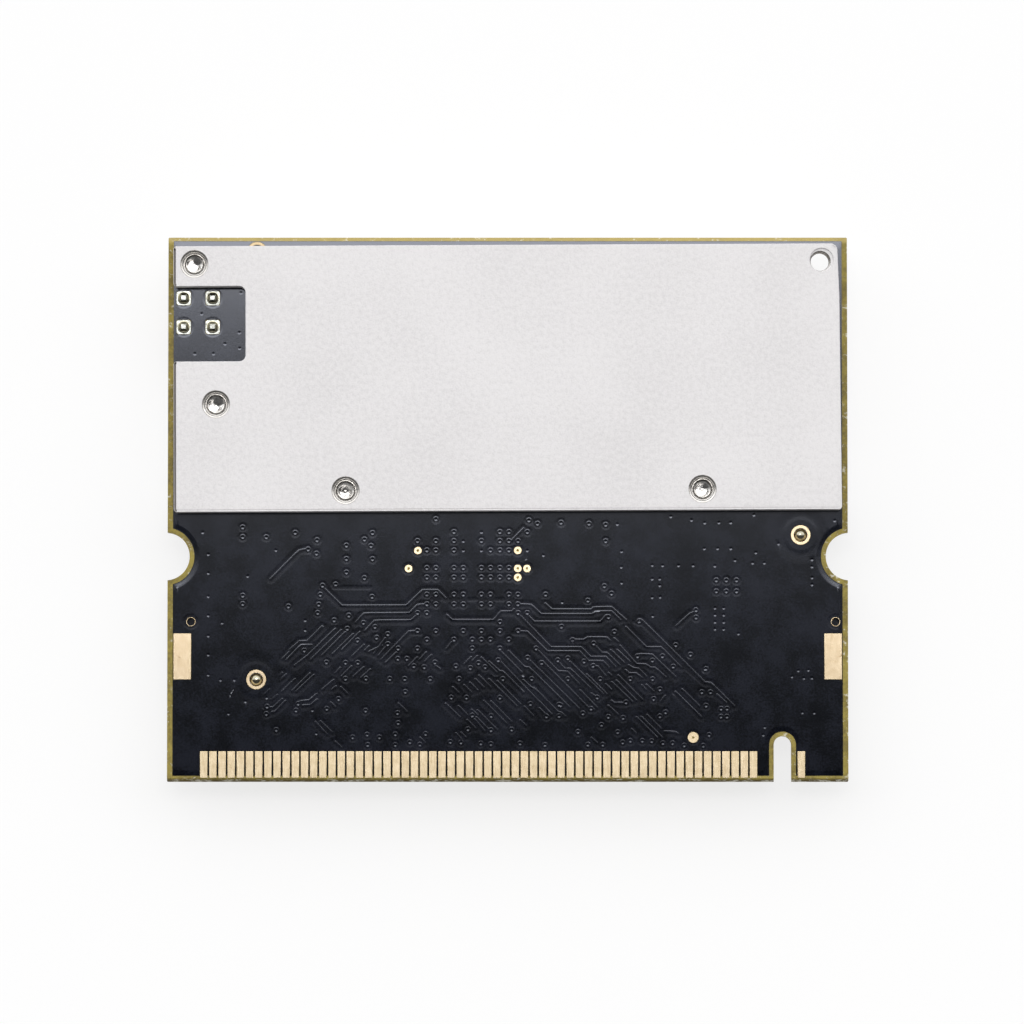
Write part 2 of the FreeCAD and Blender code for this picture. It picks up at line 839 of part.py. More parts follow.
def bent_lead(place, side, half_width, lead_width, thickness, reach, foot, exit_drop):
    """A flat lead that leaves a chip's side at exit_drop, turns to the board and ends in a foot."""
    x, y = place
    y0 = y + side * half_width
    knee = y0 + side * (reach - foot)
    end = y0 + side * reach
    exit_low = front_face - exit_drop
    exit_high = exit_low + thickness
    foot_low = front_face - thickness
    points = [
        (y0, exit_low),
        (knee, exit_low),
        (knee, foot_low),
        (end, foot_low),
        (end, front_face),
        (knee - side * thickness, front_face),
        (knee - side * thickness, exit_high),
        (y0, exit_high),
    ]
    return profile_along_x(points, x - lead_width / 2, x + lead_width / 2)


def memory_leads():
    x, y = memory_place
    drop = chip_standoff + memory_body_thickness / 2
    leads = []
    for side in (-1, 1):
        for i in range(memory_leads_a_side):
            lead_x = x + (i - (memory_leads_a_side - 1) / 2) * memory_lead_pitch
            half = memory_width / 2
            leads.append(
                bent_lead(
                    (lead_x, y),
                    side,
                    half,
                    memory_lead_width,
                    memory_lead_thickness,
                    memory_lead_reach,
                    memory_lead_foot,
                    drop,
                )
            )
    return Part.makeCompound(leads)


def crystal_tray(place, size):
    low = front_face - crystal_tray_thickness
    return centred_block(place, size[0], size[1], low, front_face)


def crystal_lid(place, size):
    top = front_face - crystal_tray_thickness
    low = top - crystal_lid_thickness
    length = size[0] - 2 * crystal_lid_inset
    width = size[1] - 2 * crystal_lid_inset
    return centred_block(place, length, width, low, top)


def crystal_trays():
    clock = crystal_tray(clock_place, clock_crystal_size)
    return Part.makeCompound([clock, crystal_tray(reference_place, reference_crystal_size)])


def crystal_lids():
    clock = crystal_lid(clock_place, clock_crystal_size)
    return Part.makeCompound([clock, crystal_lid(reference_place, reference_crystal_size)])


def regulator_chip():
    top = front_face - chip_standoff
    low = top - regulator_thickness
    return tapered_block(regulator_place, regulator_length, regulator_width, low, top, regulator_draft)


def regulator_leads():
    x, y = regulator_place
    drop = chip_standoff + regulator_thickness / 2
    half = regulator_width / 2
    shape = (regulator_lead_thickness, regulator_lead_reach, regulator_lead_foot, drop)
    leads = [
        bent_lead((x + i * regulator_lead_pitch, y), -1, half, regulator_lead_width, *shape)
        for i in (-1, 0, 1)
    ]
    leads.append(bent_lead((x, y), 1, half, regulator_tab_width, *shape))
    return Part.makeCompound(leads)


def inductor_core():
    """A shielded drum core: an eight-sided ferrite block with the drum's round end."""
    low = front_face - inductor_thickness
    top = front_face - inductor_terminal_thickness
    body = centred_block(inductor_place, inductor_width, inductor_width, low, top)
    upright = [e for e in body.Edges if e.BoundBox.ZLength > 1e-6]
    body = body.makeChamfer(inductor_corner_cut, upright)
    groove_radius = inductor_drum_radius + inductor_drum_step
    groove = column(inductor_place, groove_radius, low, low + inductor_drum_step)
    drum = column(inductor_place, inductor_drum_radius, low, low + inductor_drum_step)
    return body.cut(groove.cut(drum))


def inductor_terminals():
    x, y = inductor_place
    low = front_face - inductor_terminal_thickness
    half = inductor_terminal_width / 2
    pads = []
    for side in (-1, 1):
        outer = x + side * inductor_width / 2
        x0, x1 = sorted((outer, outer - side * inductor_corner_cut))
        pads.append(block(x0, x1, y - half, y + half, low, front_face))
    return Part.makeCompound(pads)


def tantalum_capacitors():
    low = front_face - tantalum_thickness
    body_length = tantalum_length - 2 * tantalum_terminal_thickness
    bodies = [
        tapered_block(p, body_length, tantalum_width, low, front_face - chip_standoff, tantalum_draft)
        for p in tantalum_places
    ]
    return Part.makeCompound(bodies)


def tantalum_terminals():
    """Flat strips that come down a capacitor's ends and fold under it."""
    straps = []
    low = front_face - tantalum_terminal_height
    for x, y in tantalum_places:
        for side in (-1, 1):
            outer = x + side * tantalum_length / 2
            inner = outer - side * tantalum_terminal_thickness
            under = outer - side * tantalum_fold_length
            half = tantalum_terminal_width / 2
            x0, x1 = sorted((outer, inner))
            u0, u1 = sorted((outer, under))
            upright = block(x0, x1, y - half, y + half, low, front_face)
            fold = block(u0, u1, y - half, y + half, front_face - chip_standoff, front_face)
            straps.append(joined([upright, fold]))
    return Part.makeCompound(straps)


def capacitor_places():
    """Chip capacitors beside the chips, as x, y and whether they stand along Y."""
    places = []
    reach = baseband_width / 2 + chip_row_gap + chip_width / 2
    for i in range(-2, 3):
        step = i * chip_row_pitch
        places.append((baseband_x - reach, baseband_y + step, True))
        places.append((baseband_x + reach, baseband_y + step, True))
        places.append((baseband_x + step, baseband_y - reach, False))
    x, y = transceiver_place
    reach = transceiver_width / 2 + chip_row_gap + chip_width / 2
    for i in (-1, 0, 1):
        step = i * chip_row_pitch
        places.append((x + step, y - reach, False))
        places.append((x + step, y + reach, False))
    reach = amplifier_width / 2 + chip_row_gap + chip_width / 2
    for x in amplifier_positions:
        places.append((x - reach, amplifier_y, True))
        places.append((x, amplifier_y - reach, False))
    return places


def resistor_places():
    """A row of resistors between the slot and the left side, as many as there is room for."""
    first = first_contact_x - 2 * contact_pitch
    count = 1 + int((first - board_left - resistor_row_inset) / resistor_row_pitch)
    return [(first - i * resistor_row_pitch, resistor_row_y, True) for i in range(count)]


def chip_bodies(places, thickness):
    low = front_face - thickness
    length = chip_length - 2 * terminal_length
    bodies = []
    for x, y, upright in places:
        size = (chip_width, length) if upright else (length, chip_width)
        bodies.append(centred_block((x, y), size[0], size[1], low, front_face))
    return Part.makeCompound(bodies)


def chip_terminals(places, thickness):
    low = front_face - thickness
    offset = (chip_length - terminal_length) / 2
    caps = []
    for x, y, upright in places:
        for side in (-1, 1):
            if upright:
                end = (x, y + side * offset)
                caps.append(centred_block(end, chip_width, terminal_length, low, front_face))
            else:
                end = (x + side * offset, y)
                caps.append(centred_block(end, terminal_length, chip_width, low, front_face))
    return Part.makeCompound(caps)


def leadless_chip(place, width, thickness):
    return centred_block(place, width, width, front_face - thickness, front_face)


def transceiver_chip():
    return leadless_chip(transceiver_place, transceiver_width, leadless_thickness)


def amplifier_chips():
    places = [(x, amplifier_y) for x in amplifier_positions]
    return Part.makeCompound([leadless_chip(p, amplifier_width, leadless_thickness) for p in places])


def antenna_switch():
    return leadless_chip(switch_place, switch_width, leadless_thickness)


def band_filter():
    low = front_face - filter_thickness
    return centred_block(filter_place, filter_size[0], filter_size[1], low, front_face)


def main():
    nodes = {
        "board_laminate": board_laminate(),
        "back_solder_mask": back_solder_mask(),
        "front_solder_mask": front_solder_mask(),
        "back_edge_contacts": back_edge_contacts(),
        "front_edge_contacts": front_edge_contacts(),
        "back_ground_pads": back_ground_pads(),
        "front_ground_pads": front_ground_pads(),
        "screw_hole_sleeves": screw_hole_sleeves(),
        "plug_rings": plug_rings(),
        "plug_pins": plug_pins(),
        "tooling_rings": tooling_rings(),
        "test_ring_pads": test_ring_pads(),
        "heat_plate": heat_plate(),
        "thermal_pad": thermal_pad(),
        "rf_cover": rf_cover(),
        "cover_screws": cover_screws(),
        "jack_body": jack_body(),
        "jack_insulator": jack_insulator(),
        "jack_contact": jack_contact(),
        "jack_leg_sleeves": jack_leg_sleeves(),
        "jack_solder": jack_solder(),
        "baseband_package": baseband_package(),
        "baseband_substrate": baseband_substrate(),
        "baseband_balls": baseband_balls(),
        "memory_chip": memory_chip(),
        "memory_leads": memory_leads(),
        "crystal_trays": crystal_trays(),
        "crystal_lids": crystal_lids(),
        "regulator_chip": regulator_chip(),
        "regulator_leads": regulator_leads(),
        "inductor_core": inductor_core(),
        "inductor_terminals": inductor_terminals(),
        "tantalum_capacitors": tantalum_capacitors(),
        "tantalum_terminals": tantalum_terminals(),
        "ceramic_capacitors": chip_bodies(capacitor_places(), capacitor_thickness),
        "capacitor_terminals": chip_terminals(capacitor_places(), capacitor_thickness),
        "chip_resistors": chip_bodies(resistor_places(), resistor_thickness),
        "resistor_terminals": chip_terminals(resistor_places(), resistor_thickness),
        "transceiver_chip": transceiver_chip(),
        "amplifier_chips": amplifier_chips(),
        "antenna_switch": antenna_switch(),
        "band_filter": band_filter(),
    }
    os.makedirs("parts", exist_ok=True)
    for name, shape in nodes.items():
        shape.exportStep("parts/%s.step" % name)
        print(name, "valid" if shape.isValid() else "not valid", len(shape.Solids), round(shape.Volume, 3))


main()
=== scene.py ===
import logging
import math
from dataclasses import dataclass
from enum import Enum
from typing import Iterable, Sequence, Union

import bmesh
import bpy
import numpy as np
from mathutils import Matrix, Vector
from mathutils.geometry import delaunay_2d_cdt


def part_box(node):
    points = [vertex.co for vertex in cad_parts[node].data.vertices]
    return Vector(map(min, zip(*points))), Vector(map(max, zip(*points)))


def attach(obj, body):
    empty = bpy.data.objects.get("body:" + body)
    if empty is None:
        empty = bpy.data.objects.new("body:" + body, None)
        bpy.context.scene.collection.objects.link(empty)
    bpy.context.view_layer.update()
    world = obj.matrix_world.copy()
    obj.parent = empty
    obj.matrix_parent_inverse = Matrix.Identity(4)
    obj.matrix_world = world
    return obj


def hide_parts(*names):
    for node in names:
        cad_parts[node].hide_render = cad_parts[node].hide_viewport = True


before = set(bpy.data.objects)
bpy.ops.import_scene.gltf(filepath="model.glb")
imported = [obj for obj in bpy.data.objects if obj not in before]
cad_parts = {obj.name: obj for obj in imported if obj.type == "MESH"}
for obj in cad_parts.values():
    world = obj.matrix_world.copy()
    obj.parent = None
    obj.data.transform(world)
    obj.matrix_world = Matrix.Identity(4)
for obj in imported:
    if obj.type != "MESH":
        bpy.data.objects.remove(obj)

# A small radio card that lies on its front cover, with its back to the camera. Builders work in
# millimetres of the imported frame, and Form turns them into metres.

LOG = logging.getLogger("radio_card")
MM = 0.001
# Beyond NEAR millimetres a distance to a track is of no use, and is given as FAR
NEAR = 1.0
FAR = 1e9
Place = tuple[float, float]
Loop = list[Place]
Colour = tuple[float, float, float]
Step = tuple[float, float, float]
Setting = Union["Socket", float, Sequence[float]]


class Socket:
    """An output of a shader tree. Arithmetic on it adds Math nodes."""

    def __init__(self, tree: "Tree", link: bpy.types.NodeSocket) -> None:
        """Wraps one output socket of a tree."""
        self.tree = tree
        self.link = link

    def maths(self, operation: str, *values: Setting) -> "Socket":
        """Adds one Math node, of which this is the first input.

        Args:
            operation: The node's operation.
            values: Its other inputs in order.

        Returns:
            The node's output.
        """
        inputs = dict(enumerate((self, *values)))
        return self.tree.node("ShaderNodeMath", {"operation": operation}, inputs)

    def __add__(self, other: Setting) -> "Socket":
        """This plus other."""
        return self.maths("ADD", other)

    def __sub__(self, other: Setting) -> "Socket":
        """This minus other."""
        return self.maths("SUBTRACT", other)

    def __rsub__(self, other: Setting) -> "Socket":
        """Other minus this."""
        return (self * -1.0).maths("ADD", other)

    def __mul__(self, other: Setting) -> "Socket":
        """This times other."""
        return self.maths("MULTIPLY", other)

    __radd__ = __add__
    __rmul__ = __mul__

    def eased(self, low: float, high: float) -> "Socket":
        """0 below low, 1 above high and a smooth step between them.

        Args:
            low: Where the step starts.
            high: Where it ends.

        Returns:
            The step's output.
        """
        settings = {"interpolation_type": "SMOOTHSTEP"}
        inputs = {"Value": self, "From Min": low, "From Max": high}
        return self.tree.node("ShaderNodeMapRange", settings, inputs)


class Tree:
    """The node tree of one material or of the world."""

    def __init__(self, owner: Union[bpy.types.Material, bpy.types.World]) -> None:
        """Empties the owner's tree and keeps it."""
        owner.use_nodes = True
        self.tree = owner.node_tree
        self.tree.nodes.clear()

    def node(
        self, kind: str, settings: dict | None = None, inputs: dict | None = None, output: int | str = 0
    ) -> Socket:
        """Adds any node.

        Args:
            kind: The node's type.
            settings: Attributes that are set first. "stops" fills a ramp with (position, colour).
            inputs: Values or sockets by the input's name or index.
            output: Which output is returned, by its place or name.

        Returns:
            The chosen output.
        """
        made = self.tree.nodes.new(kind)
        for key, value in (settings or {}).items():
            if key == "stops":
                self.fill_ramp(made.color_ramp, value)
            else:
                setattr(made, key, value)
        for key, value in (inputs or {}).items():
            socket = made.inputs[key]
            if isinstance(value, Socket):
                self.tree.links.new(value.link, socket)
            elif socket.type == "RGBA":
                socket.default_value = (*value[:3], 1.0)
            else:
                socket.default_value = value
        return Socket(self, made.outputs[output] if made.outputs else None)

    @staticmethod
    def fill_ramp(ramp: bpy.types.ColorRamp, stops: Sequence[tuple[float, Colour]]) -> None:
        """Gives a ramp its stops.

        Args:
            ramp: The ramp.
            stops: A position and a colour for each.
        """
        while len(ramp.elements) < len(stops):
            ramp.elements.new(1.0)
        for element, (position, colour) in zip(ramp.elements, stops):
            element.position = position
            element.color = (*colour, 1.0)

    def spot(self, stretch: Sequence[float] = (1, 1, 1)) -> Socket:
        """The place on the object in millimetres.

        Args:
            stretch: A factor for each axis. A small one draws a pattern out along it.

        Returns:
            The place as a vector.
        """
        place = self.node("ShaderNodeTexCoord", output=3)
        factors = [s / MM for s in stretch]
        return self.node("ShaderNodeVectorMath", {"operation": "MULTIPLY"}, {0: place, 1: factors})

    def part(self, vector: Socket, axis: str) -> Socket:
        """One axis of a vector."""
        return self.node("ShaderNodeSeparateXYZ", {}, {0: vector}, axis)

    def noise(
        self, per_mm: float, detail: float = 2.0, rough: float = 0.5, stretch: Sequence[float] = (1, 1, 1)
    ) -> Socket:
        """Soft noise.

        Args:
            per_mm: Its scale as features per millimetre.
            detail: Its octaves.
            rough: How much the fine octaves weigh.
            stretch: A factor for each axis.

        Returns:
            The noise, about 0.5 on average.
        """
        inputs = {"Vector": self.spot(stretch), "Scale": per_mm, "Detail": detail, "Roughness": rough}
        return self.node("ShaderNodeTexNoise", {}, inputs)

    def fleck(self, mark: "Fleck") -> Socket:
        """A mask of a small mark.

        Args:
            mark: The mark.

        Returns:
            1 inside it and 0 outside.
        """
        settings = {"vector_type": "TEXTURE"}
        inputs = {
            "Vector": self.spot(),
            "Location": (mark.x, mark.y, mark.z),
            "Rotation": (0.0, 0.0, math.radians(mark.turn)),
            "Scale": (mark.length / 2, mark.width / 2, 1.0),
        }
        place = self.node("ShaderNodeMapping", settings, inputs)
        away = self.node("ShaderNodeVectorMath", {"operation": "LENGTH"}, {0: place}, "Value")
        return 1 - away.eased(0.6, 1.0)

    def blend(self, factor: Setting, first: Setting, second: Setting) -> Socket:
        """Mixes two colours.

        Args:
            factor: 0 gives the first and 1 the second.
            first: A colour or a socket.
            second: A colour or a socket.

        Returns:
            The mixed colour.
        """
        return self.node("ShaderNodeMix", {"data_type": "RGBA"}, {0: factor, 6: first, 7: second}, 2)

    def bump(self, height: Socket, distance_mm: float, under: Socket | None = None) -> Socket:
        """Turns a height into a normal.

        Args:
            height: The height, 0 to 1.
            distance_mm: What a height of 1 stands for, in millimetres.
            under: A normal that this one adds to.

        Returns:
            The normal.
        """
        inputs: dict = {"Strength": 1.0, "Distance": distance_mm * MM, "Height": height}
        if under is not None:
            inputs["Normal"] = under
        return self.node("ShaderNodeBump", {}, inputs)

    def ray(self, *kinds: str) -> Socket:
        """1 for rays of these kinds, else 0.

        Args:
            kinds: What the Light Path node calls them, without the "Is".

        Returns:
            The sum over the kinds.
        """
        found = [self.node("ShaderNodeLightPath", output=f"Is {kind} Ray") for kind in kinds]
        return sum(found[1:], found[0])

    def finish(self, inputs: dict) -> None:
        """Ends the tree in a Principled shader with these inputs."""
        shader = self.node("ShaderNodeBsdfPrincipled", {}, inputs)
        self.node("ShaderNodeOutputMaterial", {}, {"Surface": shader})


@dataclass(frozen=True)
class Fleck:
    """A small mark on a surface: its middle, size and turn, in millimetres and degrees."""

    x: float
    y: float
    length: float
    width: float
    turn: float = 0.0
    z: float = 5.4


@dataclass(frozen=True)
class Finish:
    """One surface finish of the card. Each kind overrides surface()."""

    slot: str

    def surface(self, tree: Tree) -> dict:
        """The Principled shader's inputs for this finish.

        Args:
            tree: The material's tree, in which the nodes are made.

        Returns:
            Values and sockets by the shader's input names.
        """
        raise NotImplementedError

    def material(self, name: str) -> bpy.types.Material:
        """This finish as a material, made at its first use.

        Args:
            name: The material's name.

        Returns:
            The material.
        """
        made = bpy.data.materials.get(name)
        if made is None:
            made = bpy.data.materials.new(name)
            tree = Tree(made)
            tree.finish(self.surface(tree))
        return made


@dataclass(frozen=True)
class SolderMask(Finish):
    """Black semi-gloss lacquer with a fine stipple."""

    slot: str = "solder_mask"
    dark: Colour = (0.0, 0.0004, 0.0014)
    pale: Colour = (0.0058, 0.0070, 0.0122)
    worn: Colour = (0.30, 0.31, 0.34)
    nicks: tuple[Fleck, ...] = (
        Fleck(1.62, -4.43, 0.30, 0.12, 20),
        Fleck(-24.08, -16.0, 0.10, 0.6, -30),
        Fleck(-24.25, -16.4, 0.12, 0.2, 0),
    )

    def surface(self, tree: Tree) -> dict:
        """Near-black with a faint cloudiness and a stipple in the gloss."""
        cloud = tree.noise(0.35, 3.0, 0.6)
        grain = tree.noise(9.0, 2.0, 0.7)
        speck = (tree.noise(5.0, 1.0, 0.5) - 0.5) * 0.5 + (grain - 0.5) * 0.7 + cloud
        colour = tree.blend(speck.eased(0.35, 0.65), self.dark, self.pale)
        for nick in self.nicks:
            colour = tree.blend(tree.fleck(nick) * grain.eased(0.35, 0.6), colour, self.worn)
        return {
            "Base Color": colour,
            "Roughness": 0.11 + (cloud - 0.5) * 0.03 + (grain - 0.5) * 0.04,
            "IOR": 1.56,
            "Specular Tint": (0.86, 0.89, 1.0),
            "Normal": tree.bump(grain, 0.0004),
        }


@dataclass(frozen=True)
class GoldPlating(Finish):
    """Thin pale gold with fine strokes along the card."""

    slot: str = "gold_plating"
    pale: Colour = (0.95, 0.79, 0.55)
    deep: Colour = (0.90, 0.71, 0.44)
    cut: Colour = (0.35, 0.22, 0.10)
    # Painted shade: a dark colour for the gold near the far edge, and the height along y where it starts
    painted_shade: Colour = (0.23, 0.178, 0.108)
    painted_shade_from: float = 18.0
    scratches: tuple[Fleck, ...] = (
        Fleck(-28.75, -12.95, 0.62, 0.05, -38),
        Fleck(28.93, -12.93, 0.42, 0.05, 8),
        Fleck(29.16, -12.8, 0.3, 0.1, 60),
    )

    def surface(self, tree: Tree) -> dict:
        """Pale gold with fine strokes and faint stains, and painted shade towards the far edge."""
        stroke = tree.noise(16.0, 2.0, 0.6, (1.0, 0.06, 1.0))
        stain = tree.noise(1.3, 3.0, 0.6)
        colour = tree.blend((stroke * 0.5 + stain * 0.5).eased(0.3, 0.7), self.deep, self.pale)
        for scratch in self.scratches:
            colour = tree.blend(tree.fleck(scratch), colour, self.cut)
        # Painted shade: past a set height along y, the gold is blended towards a dark colour
        far = tree.part(tree.spot(), "Y")
        colour = tree.blend(far.eased(self.painted_shade_from, self.painted_shade_from + 3), colour, self.painted_shade)
        return {
            "Base Color": colour,
            "Metallic": 1.0,
            "Roughness": 0.205 + (stroke - 0.5) * 0.06 + (stain - 0.5) * 0.05,
            "Normal": tree.bump(stroke, 0.0003),
        }


@dataclass(frozen=True)
class CastMetal(Finish):
    """Pale cast metal with a fine orange-peel grain."""

    slot: str = "cast_metal"
    pale: Colour = (0.755, 0.738, 0.742)
    grey: Colour = (0.635, 0.618, 0.622)
    # Painted shade laid into the groove along the plate's left side, and the place of that groove
    painted_groove_shade: Colour = (0.28, 0.26, 0.245)
    groove: Fleck = Fleck(-29.08, 11.3, 60.0, 0.30, 90.25, 6.4)

    def surface(self, tree: Tree) -> dict:
        """Fine grain in the height, faint mottling in the colour, and painted shade in the left groove."""
        peel = tree.noise(2.6, 3.0, 0.55)
        grain = tree.noise(8.0, 2.0, 0.6)
        cloud = tree.noise(0.12)
        shade = peel * 0.45 + grain * 0.35 + cloud * 0.2
        colour = tree.blend(shade.eased(0.3, 0.62), self.grey, self.pale)
        # Painted shade: the groove along the left side is darkened
        colour = tree.blend(tree.fleck(self.groove) * 0.8, colour, self.painted_groove_shade)
        return {
            "Base Color": colour,
            "Metallic": 0.2,
            "Roughness": 0.5 + (peel - 0.5) * 0.2,
            "Normal": tree.bump(grain, 0.004, tree.bump(peel, 0.012)),
        }


@dataclass(frozen=True)
class Laminate(Finish):
    """Bare glass-fibre board: olive, with pale torn fibres on the milled edge."""

    slot: str = "laminate"
    olive: Colour = (0.155, 0.115, 0.018)
    straw: Colour = (0.33, 0.26, 0.046)
    fibre: Colour = (0.85, 0.83, 0.72)
    # Painted light: a paler colour for the board along its far edge
    pale: Colour = (0.50, 0.395, 0.137)
    # Painted shade: a dark brown for the bevel of the contact edge
    painted_shade_brown: Colour = (0.090, 0.062, 0.014)
    edge_x: float = 29.62
    edge_y: float = -23.70
    painted_light_y: float = 23.2

    def surface(self, tree: Tree) -> dict:
        """Olive to straw in soft patches, with pale fibre ends where the edge was milled, painted light
        along the far edge and painted shade on the contact edge's bevel.
        """
        patch = tree.noise(0.6, 3.0, 0.6)
        weave = tree.noise(5.0, 2.0, 0.6, (1.0, 1.0, 3.0))
        place = tree.spot()
        right = tree.part(place, "X").eased(self.edge_x, self.edge_x + 0.1)
        height = tree.part(place, "Y")
        low = 1 - height.eased(self.edge_y, self.edge_y + 0.1)
        torn = (tree.noise(3.2, 4.0, 0.8, (0.5, 0.6, 2.0)) + right * 0.045 + low * 0.07).eased(0.58, 0.66)
        body = tree.blend((patch * 0.6 + weave * 0.4).eased(0.35, 0.65), self.olive, self.straw)
        # Painted light: the board is made paler along its far edge
        body = tree.blend(height.eased(self.painted_light_y, self.painted_light_y + 0.4) * 0.75, body, self.pale)
        # Painted shade: the bevel of the contact edge is darkened
        body = tree.blend(low * 0.85, body, self.painted_shade_brown)
        return {
            "Base Color": tree.blend(torn * 0.55, body, self.fibre),
            "Roughness": 0.62 + (weave - 0.5) * 0.3,
            "Normal": tree.bump(weave, 0.006),
        }


@dataclass(frozen=True)
class FrostedMetal(Finish):
    """Bright metal with dull patches: the solder's frost and the screws' scuffs."""

    bright: Colour = (0.88, 0.87, 0.85)
    dull: Colour = (0.66, 0.65, 0.62)
    patches: tuple[float, ...] = (4.0, 3.0, 0.6)
    rough: float = 0.22
    rougher: float = 0.2
    depth: float = 0.01

    def surface(self, tree: Tree) -> dict:
        """Two tones and a roughness that follow the same noise."""
        frost = tree.noise(*self.patches)
        return {
            "Base Color": tree.blend(frost.eased(0.35, 0.7), self.bright, self.dull),
            "Metallic": 1.0,
            "Roughness": self.rough + frost * self.rougher,
            "Normal": tree.bump(frost, self.depth),
        }


@dataclass(frozen=True)
class Plain(Finish):
    """A finish of one colour with a grain, for moulded, glazed and small parts."""

    slot: str = ""
    base: Colour = (0.5, 0.5, 0.5)
    other: Colour = (0.4, 0.4, 0.4)
    rough: float = 0.5
    metal: float = 0.0
    grain_per_mm: float = 8.0
    grain_height: float = 0.004

    def surface(self, tree: Tree) -> dict:
        """Two near colours in soft noise, and a fine grain in the height."""
        grain = tree.noise(self.grain_per_mm, 3.0, 0.6)
        cloud = tree.noise(self.grain_per_mm / 6)
        mix = (grain * 0.5 + cloud * 0.5).eased(0.3, 0.7)
        return {
            "Base Color": tree.blend(mix, self.base, self.other),
            "Metallic": self.metal,
            "Roughness": self.rough + (grain - 0.5) * 0.15,
            "Normal": tree.bump(grain, self.grain_height),
        }


class Looks(Enum):
    """Every finish of the card, under the name of its material slot."""

    MASK = SolderMask()
    GOLD = GoldPlating()
    CAST = CastMetal()
    PAD_GOLD = GoldPlating(pale=(0.76, 0.62, 0.43), deep=(0.71, 0.55, 0.35))
    LAMINATE = Laminate()
    TIN = FrostedMetal("tin_solder")
    STEEL = FrostedMetal(
        "screw_steel", (0.80, 0.79, 0.77), (0.50, 0.48, 0.46), (6, 4, 0.65), 0.12, 0.14, 0.006
    )
    MACHINED = Plain("cast_metal", (0.62, 0.605, 0.59), (0.50, 0.48, 0.455), 0.25, 1, 9, 0.004)
    JOINT = Plain("tin_solder", (0.44, 0.42, 0.32), (0.33, 0.31, 0.22), 0.2, 1, 5, 0.004)
    PAD_TIN = Plain("tin_solder", (0.40, 0.41, 0.385), (0.25, 0.25, 0.225), 0.22, 1, 3, 0.012)
    PLUG = Plain("tin_solder", (0.45, 0.43, 0.34), (0.30, 0.28, 0.20), 0.18, 1, 3, 0.02)
    JACK_GOLD = Plain("jack_gold", (0.86, 0.64, 0.32), (0.78, 0.55, 0.25), 0.28, 1, 10, 0.002)
    INSULATOR = Plain("insulator", (0.84, 0.84, 0.81), (0.78, 0.78, 0.75), 0.55)
    MOULD = Plain("chip_mould", (0.030, 0.030, 0.033), (0.042, 0.042, 0.045), 0.55, 0, 12, 0.006)
    SUBSTRATE = Plain("chip_substrate", (0.07, 0.13, 0.045), (0.09, 0.15, 0.055), 0.4)
    THERMAL = Plain("thermal_pad", (0.42, 0.48, 0.53), (0.38, 0.44, 0.5), 0.85)
    CERAMIC = Plain("crystal_ceramic", (0.16, 0.135, 0.12), (0.13, 0.11, 0.10), 0.5)
    METAL_CAP = Plain("crystal_metal", (0.78, 0.77, 0.74), (0.70, 0.69, 0.67), 0.24, 1, 5, 0.003)
    FERRITE = Plain("ferrite", (0.10, 0.10, 0.105), (0.14, 0.14, 0.145), 0.7, 0, 6, 0.01)
    TANTALUM = Plain("tantalum_case", (0.70, 0.44, 0.11), (0.62, 0.38, 0.09), 0.45)
    CAPACITOR = Plain("capacitor_ceramic", (0.50, 0.36, 0.24), (0.43, 0.31, 0.2), 0.4)
    GLAZE = Plain("resistor_glaze", (0.035, 0.035, 0.04), (0.05, 0.05, 0.055), 0.25)


class Span:
    """The box of one CAD node, or of a loose part of one, in millimetres."""

    def __init__(self, low: Sequence[float], high: Sequence[float]) -> None:
        """Keeps the lowest and the highest corner."""
        self.x0, self.y0, self.z0 = low
        self.x1, self.y1, self.z1 = high

    @classmethod
    def of(cls, node: str) -> "Span":
        """The box of a whole node."""
        low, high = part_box(node)
        return cls(low / MM, high / MM)

    @classmethod
    def parts(cls, node: str) -> list["Span"]:
        """The box of each loose part of a node, from left to right and then upwards.

        Args:
            node: The CAD node's name.

        Returns:
            One span for each part.
        """
        mesh = bmesh.new()
        mesh.from_mesh(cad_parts[node].data)
        bmesh.ops.remove_doubles(mesh, verts=mesh.verts, dist=1e-7)
        found = []
        left = set(mesh.verts)
        while left:
            island = [left.pop()]
            for vertex in island:
                near = left.intersection(v for edge in vertex.link_edges for v in edge.verts)
                left -= near
                island += near
            spots = np.array([v.co for v in island]) / MM
            found.append(cls(spots.min(0), spots.max(0)))
        mesh.free()
        return sorted(found, key=lambda s: (round(s.x0, 2), round(s.y0, 2)))

    @property
    def centre(self) -> Place:
        """The middle, seen from above."""
        return (self.x0 + self.x1) / 2, (self.y0 + self.y1) / 2

    @property
    def radius(self) -> float:
        """Half the length along X."""
        return (self.x1 - self.x0) / 2

    def outline(self, gap: float, corner: float, steps: int = 4) -> Loop:
        """A rectangle with round corners at a distance round the box."""
        return rectangle(self.x0 - gap, self.x1 + gap, self.y0 - gap, self.y1 + gap, corner, steps)


def arc(centre: Place, radius: float, start: float, end: float, steps: int) -> Loop:
    """Points along an arc, both ends included.

    Args:
        centre: The arc's centre.
        radius: Its radius.
        start: The first angle in degrees.
        end: The last angle in degrees.
        steps: How many chords it has.

    Returns:
        The points in order.
    """
    turns = [math.radians(start + (end - start) * k / steps) for k in range(steps + 1)]
    return [(centre[0] + radius * math.cos(t), centre[1] + radius * math.sin(t)) for t in turns]


def circle(centre: Place, radius: float, steps: int = 32) -> Loop:
    """A closed ring of points, anticlockwise."""
    return arc(centre, radius, 0, 360, steps)[:-1]


